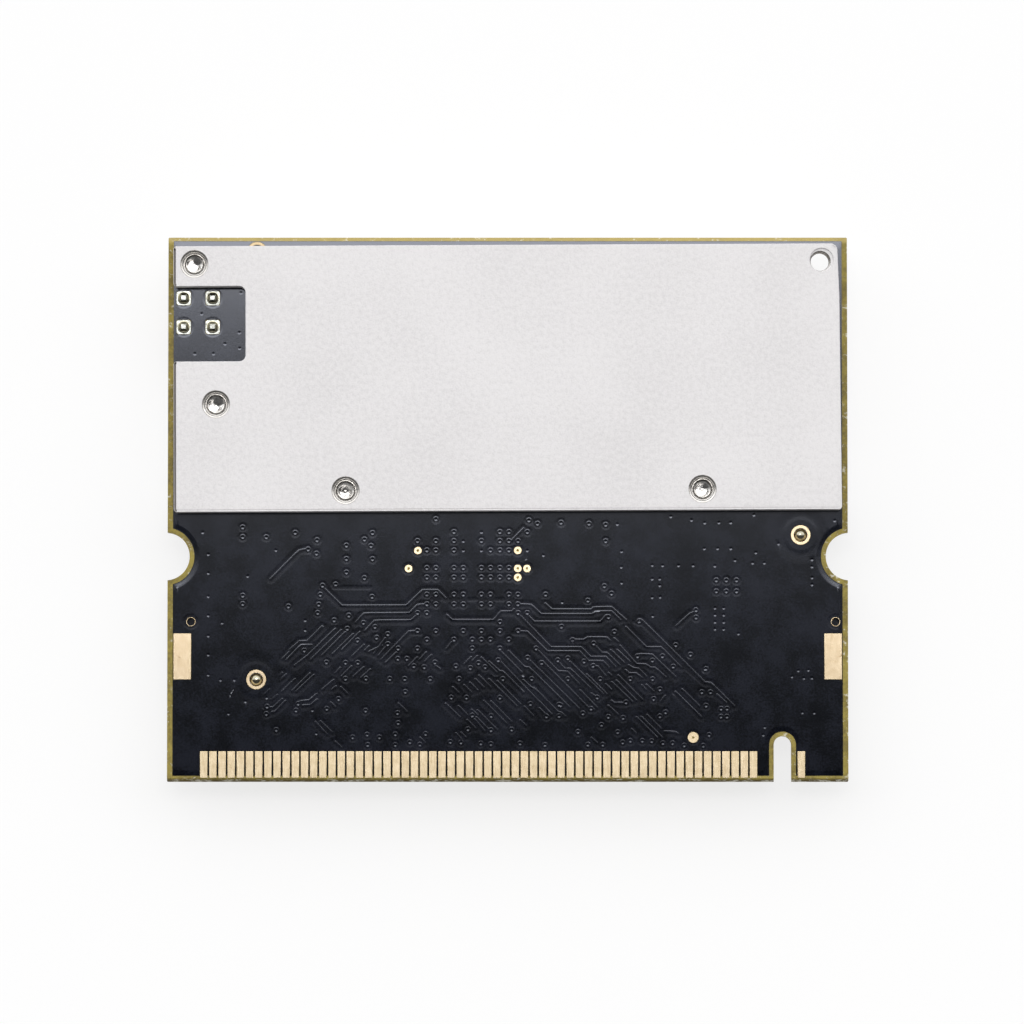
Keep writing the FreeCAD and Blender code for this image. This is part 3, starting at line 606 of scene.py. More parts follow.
def rectangle(x0: float, x1: float, y0: float, y1: float, corner: float = 0.0, steps: int = 4) -> Loop:
    """A rectangle's outline, anticlockwise.

    Args:
        x0: Its left side.
        x1: Its right side.
        y0: Its lower side.
        y1: Its upper side.
        corner: The corners' radius, or 0 for bare corners.
        steps: How many chords each round has.

    Returns:
        The outline.
    """
    if corner <= 0:
        return [(x0, y0), (x1, y0), (x1, y1), (x0, y1)]
    loop = arc((x0 + corner, y0 + corner), corner, 180, 270, steps)
    loop += arc((x1 - corner, y0 + corner), corner, 270, 360, steps)
    loop += arc((x1 - corner, y1 - corner), corner, 0, 90, steps)
    return loop + arc((x0 + corner, y1 - corner), corner, 90, 180, steps)


def square(centre: Place, half: float, corner: float, steps: int = 4) -> Loop:
    """A square with round corners about a centre, from half its side."""
    x, y = centre
    return rectangle(x - half, x + half, y - half, y + half, corner, steps)


def at(loop: Iterable[Place], level: float) -> list[Step]:
    """A loop's points at a level."""
    return [(x, y, level) for x, y in loop]


def flat(ring: Iterable[Step]) -> Loop:
    """A ring's points without their level."""
    return [(x, y) for x, y, _ in ring]


def inset(loop: Loop, distance: float) -> Loop:
    """A closed outline moved inwards, with mitred corners.

    Args:
        loop: The outline, anticlockwise.
        distance: How far it moves.

    Returns:
        The smaller outline.
    """
    points = np.array(loop)
    before = points - np.roll(points, 1, axis=0)
    after = np.roll(points, -1, axis=0) - points
    unit_before = before / np.linalg.norm(before, axis=1)[:, None]
    unit_after = after / np.linalg.norm(after, axis=1)[:, None]
    normal = np.stack([-(unit_before + unit_after)[:, 1], (unit_before + unit_after)[:, 0]], axis=1)
    length = np.linalg.norm(normal, axis=1)[:, None]
    return [tuple(p) for p in points + normal * (2 * distance) / length**2]


def inside(points: np.ndarray, loop: Loop) -> np.ndarray:
    """Which points lie in a closed loop, by the even-odd rule.

    Args:
        points: The points.
        loop: The loop.

    Returns:
        True or False for each point.
    """
    ring = np.array(loop)
    low, high = ring.min(0), ring.max(0)
    near = np.all((points >= low) & (points <= high), axis=1)
    result = np.zeros(len(points), bool)
    x, y = points[near, 0], points[near, 1]
    odd = np.zeros(len(x), bool)
    for (x0, y0), (x1, y1) in zip(ring, np.roll(ring, -1, axis=0)):
        if y0 == y1:
            continue
        crosses = (y0 > y) != (y1 > y)
        odd ^= crosses & (x < (x1 - x0) * (y - y0) / (y1 - y0) + x0)
    result[near] = odd
    return result


def finely(line: Loop, reach: float = 0.5) -> Loop:
    """A closed line with points added so that none of its steps is long.

    Args:
        line: The line.
        reach: The longest step.

    Returns:
        The line with its new points.
    """
    result: Loop = []
    for (x0, y0), (x1, y1) in zip(line, line[1:] + line[:1]):
        parts = math.ceil(math.dist((x0, y0), (x1, y1)) / reach)
        result += [(x0, y0)]
        result += [(x0 + (x1 - x0) * k / parts, y0 + (y1 - y0) * k / parts) for k in range(1, parts)]
    return result


def sheet(loops: Sequence[Loop], rows: Sequence[Loop] = ()) -> tuple[np.ndarray, list[tuple[int, ...]]]:
    """Triangulates a flat sheet that has openings.

    Args:
        loops: The outline first, then each opening.
        rows: More closed lines that the triangles keep to.

    Returns:
        The points and the triangles between them, anticlockwise.
    """
    spots: list[Vector] = []
    edges: list[tuple[int, int]] = []
    for line in [*loops, *map(finely, rows)]:
        first = len(spots)
        spots += [Vector(p) for p in line]
        last = len(spots) - 1
        edges += [(k, k + 1) for k in range(first, last)] + [(last, first)]
    found, _, faces, _, _, _ = delaunay_2d_cdt(spots, edges, [], 0, 1e-5, False)
    points = np.array([tuple(p) for p in found])
    middle = points[np.array(faces)].mean(axis=1)
    keep = inside(middle, loops[0])
    for loop in loops[1:]:
        keep &= ~inside(middle, loop)
    return points, [tuple(face) for face, kept in zip(faces, keep) if kept]


class Form:
    """A mesh in the making, in millimetres."""

    def __init__(self) -> None:
        """Starts with nothing."""
        self.points: list[tuple[float, float, float]] = []
        self.faces: list[tuple[int, ...]] = []
        self.smooth: list[bool] = []

    def add(
        self, points: Iterable[Sequence[float]], faces: Sequence[Sequence[int]], smooth: Sequence[bool] = ()
    ) -> None:
        """Adds points and the faces between them.

        Args:
            points: The points.
            faces: Each face as indices of these points.
            smooth: Whether each face is shaded smooth. Without it all are.
        """
        first = len(self.points)
        self.points += [tuple(p) for p in points]
        self.faces += [tuple(first + k for k in face) for face in faces]
        self.smooth += list(smooth) or [True] * len(faces)

    def wall(self, lower: Sequence[Sequence[float]], upper: Sequence[Sequence[float]]) -> None:
        """Joins two closed rings of as many points with quads."""
        count = len(lower)
        quads = [(k, (k + 1) % count, count + (k + 1) % count, count + k) for k in range(count)]
        self.add(list(lower) + list(upper), quads)

    def stack(self, rings: Sequence[Sequence[Sequence[float]]]) -> None:
        """Joins each ring to the next with quads."""
        for lower, upper in zip(rings, rings[1:]):
            self.wall(lower, upper)

    def lid(self, loops: Sequence[Loop], level: float, upward: bool) -> None:
        """A flat face with openings.

        Args:
            loops: The outline first, then each opening.
            level: Its height.
            upward: Whether it faces up.
        """
        points, faces = sheet(loops)
        faces = faces if upward else [face[::-1] for face in faces]
        self.add(at(points, level), faces, [False] * len(faces))

    def lathe(self, centre: Place, profile: Sequence[Place], steps: int = 48) -> None:
        """Turns a profile round an upright axis.

        Args:
            centre: The axis.
            profile: (radius, level) pairs, the solid on their left. A radius of 0 ends on the axis.
            steps: How many sides the round has.
        """
        rings = [at(circle(centre, max(r, 1e-5), steps), level) for r, level in profile]
        self.stack(rings)
        for (radius, _), ring, back in ((profile[0], rings[0], True), (profile[-1], rings[-1], False)):
            if radius < 1e-4:
                face = list(range(steps))
                self.add(ring, [face[::-1] if back else face], [False])

    def tilt(self, centre: Place, degrees: float) -> None:
        """Turns the whole form about an upright axis.

        Args:
            centre: The axis.
            degrees: The turn, anticlockwise.
        """
        turn = math.radians(degrees)
        c, s = math.cos(turn), math.sin(turn)
        cx, cy = centre
        self.points = [
            (cx + (x - cx) * c - (y - cy) * s, cy + (x - cx) * s + (y - cy) * c, z)
            for x, y, z in self.points
        ]

    def piece(self, name: str, look: Looks, nodes: Sequence[str], smooth: float) -> bpy.types.Object:
        """Makes the object, in place of the CAD nodes that it stands for.

        Args:
            name: The piece's name.
            look: Its finish.
            nodes: The CAD nodes that it replaces.
            smooth: The largest angle in degrees that is shaded smooth.

        Returns:
            The object.
        """
        mesh = bpy.data.meshes.new(name)
        mesh.from_pydata([(x * MM, y * MM, z * MM) for x, y, z in self.points], [], self.faces)
        mesh.polygons.foreach_set("use_smooth", self.smooth)
        work = bmesh.new()
        work.from_mesh(mesh)
        bmesh.ops.remove_doubles(work, verts=work.verts, dist=2e-8)
        bmesh.ops.dissolve_degenerate(work, edges=work.edges, dist=1e-9)
        work.to_mesh(mesh)
        work.free()
        return dressed(name, mesh, look, nodes, smooth)


def placed(name: str, data: bpy.types.ID) -> bpy.types.Object:
    """Puts a mesh, lamp or camera into the scene as an object."""
    thing = bpy.data.objects.new(name, data)
    bpy.context.scene.collection.objects.link(thing)
    return thing


def dressed(
    name: str, mesh: bpy.types.Mesh, look: Looks, nodes: Sequence[str], smooth: float
) -> bpy.types.Object:
    """Puts a mesh into the scene as a piece of the card.

    Args:
        name: The piece's name.
        mesh: Its mesh, in metres.
        look: Its finish.
        nodes: The CAD nodes that it replaces.
        smooth: The largest angle in degrees that is shaded smooth.

    Returns:
        The object.
    """
    piece = placed(name, mesh)
    mesh.materials.clear()
    mesh.materials.append(look.value.material("finish_" + look.name.lower()))
    rounds = [face.use_smooth for face in mesh.polygons]
    mesh.set_sharp_from_angle(angle=math.radians(smooth))
    mesh.polygons.foreach_set("use_smooth", rounds)
    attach(piece, "root")
    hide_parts(*nodes)
    LOG.info("%s: %d faces, for %s", name, len(mesh.polygons), ", ".join(nodes))
    return piece


def softened(
    name: str, node: str, look: Looks, width: float, segments: int = 2, smooth: float = 40.0
) -> bpy.types.Object:
    """A copy of a CAD node with its edges broken by a small round.

    Args:
        name: The piece's name.
        node: The CAD node that is copied and replaced.
        look: The finish.
        width: How wide the broken edge is, in millimetres.
        segments: How many faces the round has.
        smooth: The largest angle in degrees that is shaded smooth.

    Returns:
        The new object.
    """
    mesh = bpy.data.meshes.new(name)
    work = bmesh.new()
    work.from_mesh(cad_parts[node].data)
    bmesh.ops.remove_doubles(work, verts=work.verts, dist=1e-7)
    bmesh.ops.dissolve_limit(work, angle_limit=math.radians(1), verts=work.verts, edges=work.edges)
    sharp = [e for e in work.edges if e.is_manifold and e.calc_face_angle(0) > math.radians(40)]
    for face in work.faces:
        face.smooth = False
    made = bmesh.ops.bevel(
        work, geom=sharp, offset=width * MM, offset_type="OFFSET", segments=segments, profile=0.5,
        affect="EDGES", clamp_overlap=True,
    )
    for face in made["faces"]:
        face.smooth = True
    work.to_mesh(mesh)
    work.free()
    return dressed(name, mesh, look, [node], smooth)


@dataclass(frozen=True)
class PhotoView:
    """The camera that took the photograph, in millimetres of the card's frame.

    It looks down on the card, tilted towards the heat plate by a few degrees.
    """

    aim: Place = (0.3757, -0.2632)
    aim_level: float = 5.40
    distance: float = 600.0
    tilt: float = 0.0610652
    focal_pixels: float = 6856.64
    frame_pixels: float = 1024.0
    sensor: float = 36.0

    def axes(self) -> tuple[Vector, Vector, Vector]:
        """The camera's right, up and backward directions."""
        c, s = math.cos(self.tilt), math.sin(self.tilt)
        return Vector((1, 0, 0)), Vector((0, c, s)), Vector((0, -s, c))

    def eye(self) -> Vector:
        """Where the camera stands."""
        return Vector((*self.aim, self.aim_level)) + self.axes()[2] * self.distance

    def spot(self, across: float, down: float, level: float) -> Place:
        """The place on a level plane that is seen at a pixel.

        Args:
            across: The pixel's column.
            down: The pixel's row.
            level: The plane's height.

        Returns:
            The place as x and y.
        """
        right, up, back = self.axes()
        middle = self.frame_pixels / 2
        ray = right * ((across - middle) / self.focal_pixels)
        ray += up * ((middle - down) / self.focal_pixels)
        ray -= back
        eye = self.eye()
        reach = (level - eye.z) / ray.z
        return eye.x + ray.x * reach, eye.y + ray.y * reach

    def camera(self) -> None:
        """Sets up the scene's camera."""
        lens = bpy.data.cameras.new("camera")
        lens.sensor_width = self.sensor
        lens.lens = self.focal_pixels / self.frame_pixels * self.sensor
        lens.clip_start = 0.05
        lens.clip_end = 20.0
        camera = placed("camera", lens)
        turned = Matrix([list(axis) for axis in self.axes()]).transposed().to_4x4()
        camera.matrix_world = Matrix.Translation(self.eye() * MM) @ turned
        bpy.context.scene.camera = camera


@dataclass(frozen=True)
class Studio:
    """A white floor, a soft box beyond the heat plate's side, and a sky that is dim overhead."""

    floor_size: float = 6.0
    floor_drop: float = 0.00003
    floor_grey: float = 0.97
    floor_glow: float = 0.76
    floor_fill: float = 0.45
    box_distance: float = 1.2
    box_start: float = 6.5
    box_span: float = 10.5
    box_width: float = 0.52
    box_light: float = 6.5
    side: float = 0.82
    side_slope: float = 0.55
    peak: float = 2.0
    # The sky's light at angles from straight up, positive towards the heat plate's side
    sky: tuple[Place, ...] = (
        (-90, 0.2), (-50, 0.12), (-20, 0.1), (-4, 0.05), (1.7, 0.03), (2.8, 0.08), (3.6, 0.55), (4.8, 0.85),
        (5.5, 1.2), (7, 1.5), (22, 1.6), (40, 2.0), (65, 1.9), (90, 1.4),
    )

    def build(self) -> None:
        """Makes the floor, the lamp and the sky, and sets the view transform."""
        self.floor()
        self.lamp()
        self.world()
        bpy.context.scene.view_settings.view_transform = "Standard"

    def floor(self) -> None:
        """A large pale floor that is white to the eye and in reflections, and keeps the shadow.

        It lies a hair below the card, and it is clear from below, so that the underside can be looked at.
        """
        half = self.floor_size / 2
        corners = at(rectangle(-half, half, -half, half), -self.floor_drop)
        mesh = bpy.data.meshes.new("floor")
        mesh.from_pydata(corners, [], [(0, 1, 2, 3)])
        floor = placed("floor", mesh)
        material = bpy.data.materials.new("floor_white")
        tree = Tree(material)
        mesh.materials.append(material)
        seen = tree.ray("Camera", "Glossy", "Transmission").maths("MINIMUM", 1.0)
        plain = tree.node("ShaderNodeBsdfDiffuse", {}, {"Color": (self.floor_grey,) * 3})
        glow = tree.node("ShaderNodeEmission", {}, {"Color": (1, 1, 1), "Strength": 1.0})
        share = seen * self.floor_glow + tree.ray("Diffuse") * self.floor_fill
        above = tree.node("ShaderNodeMixShader", {}, {0: share, 1: plain, 2: glow})
        clear = tree.node("ShaderNodeBsdfTransparent")
        behind = tree.node("ShaderNodeNewGeometry", output="Backfacing")
        sided = tree.node("ShaderNodeMixShader", {}, {0: behind, 1: above, 2: clear})
        tree.node("ShaderNodeOutputMaterial", {}, {"Surface": sided})

    def lamp(self) -> None:
        """The soft box, whose near edge is what the top of the mask mirrors."""
        size = self.box_distance * math.radians(self.box_span)
        box = bpy.data.lights.new("soft_box", "AREA")
        box.shape = "RECTANGLE"
        box.size = self.box_width
        box.size_y = size
        box.energy = math.pi * self.box_width * size * self.box_light
        lamp = placed("soft_box", box)
        turn = math.radians(self.box_start + self.box_span / 2)
        place = Vector((0, math.sin(turn), math.cos(turn))) * self.box_distance
        lamp.matrix_world = Matrix.Translation(place) @ place.to_track_quat("Z", "Y").to_matrix().to_4x4()

    def world(self) -> None:
        """The sky, graded overhead, and a white backdrop low down for the eye and in reflections."""
        world = bpy.data.worlds.new("surround")
        bpy.context.scene.world = world
        tree = Tree(world)
        ahead = tree.node("ShaderNodeTexCoord", output="Generated")
        north, up = tree.part(ahead, "Y"), tree.part(ahead, "Z")
        share = north.maths("ARCTAN2", up) * (1 / math.pi) + 0.5
        stops = [((angle + 90) / 180, (light / self.peak,) * 3) for angle, light in self.sky]
        graded = tree.node("ShaderNodeValToRGB", {"stops": stops}, {"Fac": share}) * self.peak
        overhead = up.eased(0.1, 0.6)
        light = graded * overhead + (north * self.side_slope + self.side) * (1 - overhead)
        low = 1 - up.eased(0.02, 0.16)
        seen = (tree.ray("Camera", "Transmission") + tree.ray("Glossy") * low).maths("MINIMUM", 1.0)
        strength = light * (1 - seen) + seen
        back = tree.node("ShaderNodeBackground", {}, {"Color": (1, 1, 1), "Strength": strength})
        tree.node("ShaderNodeOutputWorld", {}, {"Surface": back})


def pixels(row: Sequence[int]) -> Loop:
    """The places in a row of columns and rows in turn, turned from tenths of a pixel to pixels."""
    return [(across / 10, down / 10) for across, down in zip(row[::2], row[1::2])]


# The places in these lists were read from the photograph, each as its column and its row in
# tenths of a pixel. A via is a plated hole under the mask, and a dot is one without a ring.
VIAS = pixels((
    2427, 5274, 2427, 5370, 2663, 5372, 2952, 5328, 3171, 5402, 3082, 5494, 3165, 5536, 3464, 5456,
    3464, 5590, 3464, 5725, 3725, 5330, 3644, 5395, 3710, 5459, 3725, 5592, 3644, 5781, 2427, 5957,
    2427, 6040, 2884, 6065, 3226, 5857, 3357, 5845, 3203, 5947, 3188, 6046, 3177, 6129, 3342, 6204,
    3488, 6156, 3473, 6288, 3720, 5969, 3635, 6229, 3750, 6270, 3878, 6342, 3766, 6377, 3575, 6405,
    3878, 6442, 3982, 6486, 3043, 6506, 3264, 6625, 3455, 6628, 3579, 6628, 3455, 6788, 3659, 6787,
    3898, 6790, 4048, 6790, 4053, 6919, 3386, 6992, 3269, 7089, 2667, 6978, 2671, 7067, 2663, 7141,
    2982, 7039, 2960, 7106, 2763, 7300, 3656, 7107, 3975, 7131, 3982, 7231, 3953, 7344, 3671, 7347,
    3527, 7374, 3794, 7374, 3677, 7451, 3953, 7451, 4099, 7422, 4198, 7447, 4256, 7341, 5289, 5204,
    5375, 5237, 5456, 5946, 3978, 6589, 4070, 6589, 4139, 6662, 4243, 6672, 4349, 6625, 4559, 6662,
    4704, 6681, 4786, 6630, 4851, 6672, 4983, 6603, 5276, 6578, 5417, 6630, 5578, 6603, 4302, 6790,
    4591, 6790, 5028, 6791, 5318, 6791, 4513, 6977, 4664, 6977, 4999, 6977, 5304, 7041, 4723, 7156,
    4911, 7161, 5464, 7165, 5591, 7048, 5591, 7161, 4679, 7293, 4909, 7303, 5116, 7296, 4503, 7420,
    4610, 7425, 4808, 7435, 4909, 7442, 5201, 7435, 5449, 7450, 5361, 6485, 5610, 5227, 5890, 5237,
    6057, 5248, 6057, 5413, 6044, 5862, 6115, 5937, 5879, 6006, 6084, 6171, 5614, 6267, 6392, 6214,
    6144, 6319, 5726, 6401, 5936, 6435, 6960, 6102, 6960, 6176, 6758, 6452, 5679, 6583, 5841, 6616,
    5931, 6659, 5680, 6792, 6002, 6792, 6303, 6792, 6525, 6792, 6375, 6564, 6525, 6606, 6625, 6563,
    6732, 6667, 6905, 6547, 7061, 6690, 6599, 6893, 6537, 6991, 6260, 7024, 5971, 6976, 5607, 7053,
    5910, 7088, 5829, 7134, 6084, 7169, 6231, 7180, 6599, 7164, 6655, 7123, 6015, 7249, 5780, 7320,
    6176, 7322, 6303, 7409, 6227, 7425, 6423, 7409, 6517, 7412, 6629, 7432, 6727, 7432, 6843, 7455,
    7033, 7458, 7091, 7351, 5879, 7448, 6028, 7448, 7018, 6922, 7104, 6922, 7061, 7057, 7210, 7088,
    7270, 7088, 7210, 7167, 7270, 7167,
))
# Vias behind the large chip stand on a grid. Its rows tell which columns hold a via (o) or a dot (.).
GRID_COLUMNS = (417.5, 426.9, 435.9, 454.0, 463.3, 472.3, 481.4, 490.5, 499.9, 508.9, 518.0, 527.3)
GRID_ROWS = {
    519.2: "  o         ",
    532.0: "   o  . oo o",
    541.0: "o oo. o ooo ",
    550.4: " ooo. .ooo .",
    568.0: " oooo oooo  ",
    577.5: " oooo oooo  ",
    594.6: " oooo oo oo ",
    604.3: " oooo oo oo ",
    613.0: "oo        oo",
    622.0: "        o   ",
    631.0: "o o o o o o ",
    639.7: " o o ooo o  ",
    648.5: "o    o  o   ",
}
SIX_VIAS = [(x, y) for x in (716.3, 726.3, 736.5) for y in (580.4, 591.4)]
EIGHT_DOTS = [(x, y) for x in (715.0, 723.7) for y in (607.9, 614.8, 622.0, 629.0)]
WINDOW_DOTS = pixels((
    1947, 3537, 2135, 3537, 2250, 3438, 2393, 3326, 2396, 3482, 2409, 2928, 2017, 3138,
))
DOTS = pixels((
    2027, 5323, 2082, 5542, 2082, 5730, 2759, 5501, 2476, 5760, 2082, 5963, 2082, 6154, 2221, 6228,
    2082, 6358, 3052, 6203, 3052, 6301, 2082, 6547, 2082, 6748, 2205, 6800, 2342, 6800, 2454, 7016,
    2284, 7138, 3162, 7335, 3124, 7103, 5434, 5551, 6173, 5240, 6216, 5513, 6213, 5669, 6216, 5827,
    6522, 5651, 6626, 5654, 6785, 5654, 6931, 5654, 7148, 5658, 6522, 5788, 6597, 5788, 6597, 5853,
    6522, 5972, 6602, 5969, 6528, 6159, 6709, 5164, 6915, 5199, 7047, 5227, 7189, 5225, 7307, 5225,
    7044, 5484, 7176, 5484, 7307, 5484, 7350, 5602, 7558, 5525, 7526, 5628, 7644, 5628, 7540, 5148,
    7385, 6336, 5622, 6022, 7785, 5437, 8120, 5595, 8120, 5665, 8120, 5775, 8120, 5845, 8347, 5205,
    7050, 6690, 7983, 6706, 8084, 6700, 7920, 6766, 8040, 6782, 8120, 6780, 8025, 7126, 8142, 7128,
    7648, 7273, 7633, 7350,
))
# A track's line is its bright flank, on the heat plate's side.
TRACKS = [pixels(row) for row in (
    (3246, 5876, 3422, 6049, 4060, 6047, 4222, 5892, 4379, 5892, 4463, 5975),
    (4245, 6036, 4168, 6040, 4092, 6122, 3636, 6125, 3550, 6220),
    (4153, 6153, 4107, 6194, 3743, 6198, 3644, 6301), (3212, 6260, 3069, 6403, 2993, 6403, 2819, 6582),
    (3115, 6441, 3008, 6441, 2860, 6592), (3345, 6284, 3069, 6551, 2942, 6648), (3406, 6296, 3100, 6592),
    (3447, 6316, 3212, 6551), (3523, 6337, 3319, 6536), (3590, 6316, 3416, 6490), (3631, 6444, 3518, 6556),
    (3682, 6459, 3641, 6500), (3845, 6378, 3733, 6531), (3855, 6459, 3779, 6551), (3814, 6449, 3687, 6510),
    (4177, 6301, 4085, 6306, 3804, 6592), (3957, 6520, 3850, 6622), (2814, 6724, 2768, 6770),
    (2855, 6740, 2799, 6796), (2942, 6786, 2814, 6908), (3090, 6730, 2916, 6903), (3131, 6745, 2957, 6908),
    (2687, 6893, 2620, 6959), (2682, 6985, 2717, 6985, 2768, 6944), (2677, 7066, 2728, 7066, 2814, 6985),
    (2717, 7112, 2748, 7107, 2845, 7005), (2983, 7031, 2998, 7005, 3090, 6995, 3161, 6934),
    (3029, 7046, 3100, 7041, 3166, 6990), (3330, 6796, 3217, 6888), (3355, 6857, 3314, 6888),
    (3396, 6673, 3350, 6724), (3508, 6658, 3411, 6755), (3631, 6668, 3529, 6760), (3697, 6689, 3605, 6770),
    (3416, 6867, 3478, 6929), (3314, 7020, 3360, 7066), (3993, 7031, 4074, 7112), (3161, 7214, 3273, 7337),
    (3212, 7209, 3324, 7316), (3360, 7413, 3421, 7469), (2699, 5784, 2986, 5497, 3063, 5482),
    (2890, 6492, 2986, 6410, 3075, 6403, 3222, 6263),
    (4474, 6143, 4525, 6192, 4934, 6192, 5005, 6107, 5117, 6107, 5133, 6087),
    (5173, 6020, 5200, 6036, 5316, 6039, 5413, 6133, 5920, 6133, 5950, 6107, 6120, 6105, 6210, 6194),
    (5280, 6143, 5347, 6209, 6002, 6209, 6053, 6148, 6080, 6143),
    (5194, 6138, 5512, 6464, 5813, 6464, 5910, 6561, 6063, 6561, 6160, 6663),
    (5199, 6306, 5276, 6308, 5477, 6505, 5798, 6505, 5890, 6602, 6033, 6602, 6094, 6668),
    (5005, 6500, 5224, 6719), (5092, 6505, 5250, 6663, 5296, 6668, 5701, 7066), (5010, 6612, 5520, 7138),
    (4898, 6612, 5000, 6704, 5030, 6704, 5245, 6918), (4821, 6571, 4974, 6719), (4898, 6786, 5173, 7056),
    (4980, 6806, 5209, 7036), (4796, 6750, 4913, 6867), (4760, 6786, 4842, 6867), (4709, 6821, 4781, 6898),
    (4648, 6847, 4719, 6918), (4536, 6867, 4592, 6923), (4464, 7031, 4607, 7168), (4592, 7056, 4679, 7143),
    (4724, 7092, 4786, 7148), (4780, 7097, 4974, 7290), (4847, 7005, 5071, 7230), (4918, 7010, 5122, 7214),
    (4755, 7189, 4852, 7306), (4679, 7194, 4760, 7276), (4770, 7168, 4888, 7286), (4566, 7327, 4622, 7388),
    (4617, 7321, 4663, 7367), (5209, 7199, 5265, 7250), (5250, 7061, 5337, 7153),
    (5240, 6796, 5316, 6867, 5347, 6872, 5584, 7112, 5620, 7122, 5660, 7158),
    (5388, 6500, 5584, 6704, 5676, 6709, 5798, 6837), (5301, 6597, 5798, 7082), (4255, 6520, 4189, 6592),
    (4306, 6546, 4240, 6612), (4163, 6571, 4082, 6653), (4510, 6418, 4459, 6480), (4704, 6566, 4638, 6633),
    (4765, 6556, 4719, 6602), (4209, 7372, 4255, 7423), (4362, 6653, 4408, 6684),
    (5461, 6030, 5522, 6087, 5910, 6087, 5930, 6066, 6114, 6061, 6267, 6194), (5113, 5395, 5228, 5280),
    (5706, 6388, 5834, 6390, 5874, 6365, 6073, 6365, 6109, 6403),
    (5956, 6449, 6022, 6520, 6073, 6520, 6200, 6643), (5436, 6612, 5890, 7071, 5940, 7087),
    (5589, 6612, 5650, 6679, 5706, 6679, 5910, 6878), (5706, 6612, 6038, 6934), (5874, 6740, 6073, 6934),
    (5930, 6648, 5982, 6658, 6063, 6755), (5808, 6898, 5977, 7071), (5920, 6929, 5982, 6974),
    (5400, 7010, 5522, 7138), (5400, 7077, 5477, 7153), (6114, 6495, 6247, 6622), (6180, 6495, 6303, 6612),
    (6210, 6454, 6369, 6633, 6460, 6633, 6507, 6668, 6553, 6668, 6660, 6765),
    (6293, 6648, 6339, 6673, 6390, 6679, 6470, 6760), (6262, 6694, 6293, 6724, 6364, 6724, 6420, 6770),
    (6190, 6750, 6430, 6990), (6170, 6800, 6370, 7000), (6124, 6816, 6329, 7010), (6094, 6724, 6119, 6750),
    (6063, 6837, 6119, 6888), (6150, 6378, 6186, 6413), (6374, 6540, 6405, 6533, 6522, 6536, 6762, 6765),
    (6267, 6265, 6466, 6464, 6614, 6464, 6818, 6668),
    (6390, 6184, 6420, 6189, 7053, 6816, 7114, 6821, 7349, 7056), (6762, 6913, 7020, 7165),
    (6829, 6888, 7000, 7056), (6426, 6847, 6466, 6893), (6470, 6842, 6543, 6908), (6477, 7143, 6614, 7280),
    (6420, 7163, 6630, 7372), (6374, 7168, 6573, 7367), (6089, 7051, 6186, 7138),
    (6119, 7000, 6145, 7020, 6247, 7020), (6324, 7286, 6364, 7327), (5920, 7372, 5977, 7423),
    (6960, 6102, 6890, 6133, 6757, 6255), (6645, 6954, 6604, 7005), (6645, 7306, 6757, 7311, 6788, 7332),
    (7176, 6939, 7267, 7020),
)]
# The near edge of a gap between two copper areas, where no track runs in the gap.
GAP_EDGES = [pixels(row) for row in (
    (3338, 5895, 3697, 5895), (4321, 6012, 4413, 6012), (4505, 6015, 5133, 6015),
    (4204, 6357, 4092, 6352, 4010, 6439), (5020, 6138, 5143, 6143, 5265, 6265),
    (5133, 6352, 5260, 6352, 5332, 6423), (6339, 6240, 6420, 6260, 6573, 6403), (6859, 6709, 7017, 6852),
    (6721, 6929, 6961, 7168), (4439, 7066, 4566, 7184), (5362, 7051, 5469, 7143), (4571, 6439, 4495, 6500),
    (6691, 6974, 6635, 7026),
)]


def beside(path: Loop, distance: float) -> Loop:
    """A path moved to its left, with mitred bends.

    Args:
        path: The path.
        distance: How far it moves.

    Returns:
        The new path.
    """
    points = np.array(path)
    steps = np.diff(points, axis=0)
    units = steps / np.linalg.norm(steps, axis=1)[:, None]
    before = np.vstack([units[:1], units])
    after = np.vstack([units, units[-1:]])
    normal = np.stack([-(before + after)[:, 1], (before + after)[:, 0]], axis=1)
    squared = (normal**2).sum(axis=1)[:, None]
    return [tuple(p) for p in points + normal * (2 * distance) / squared]


def around(path: Loop, distance: float, steps: int = 6) -> Loop:
    """A closed outline round a path, with round ends.

    Args:
        path: The path.
        distance: How far from it the outline runs.
        steps: How many chords each end has.

    Returns:
        The outline.
    """
    left = beside(path, distance)
    right = beside(path[::-1], distance)
    loop: Loop = []
    for side, end, back in ((left, path[-1], path[-2]), (right, path[0], path[1])):
        ahead = math.degrees(math.atan2(end[1] - back[1], end[0] - back[0]))
        loop += side[:-1] + arc(end, distance, ahead + 90, ahead - 90, steps)
    return loop


def ramp(distance: np.ndarray, start: float, width: float) -> np.ndarray:
    """1 up to start, 0 from start + width, and a smooth step between them."""
    share = np.clip((distance - start) / width, 0, 1)
    return 1 - share * share * (3 - 2 * share)


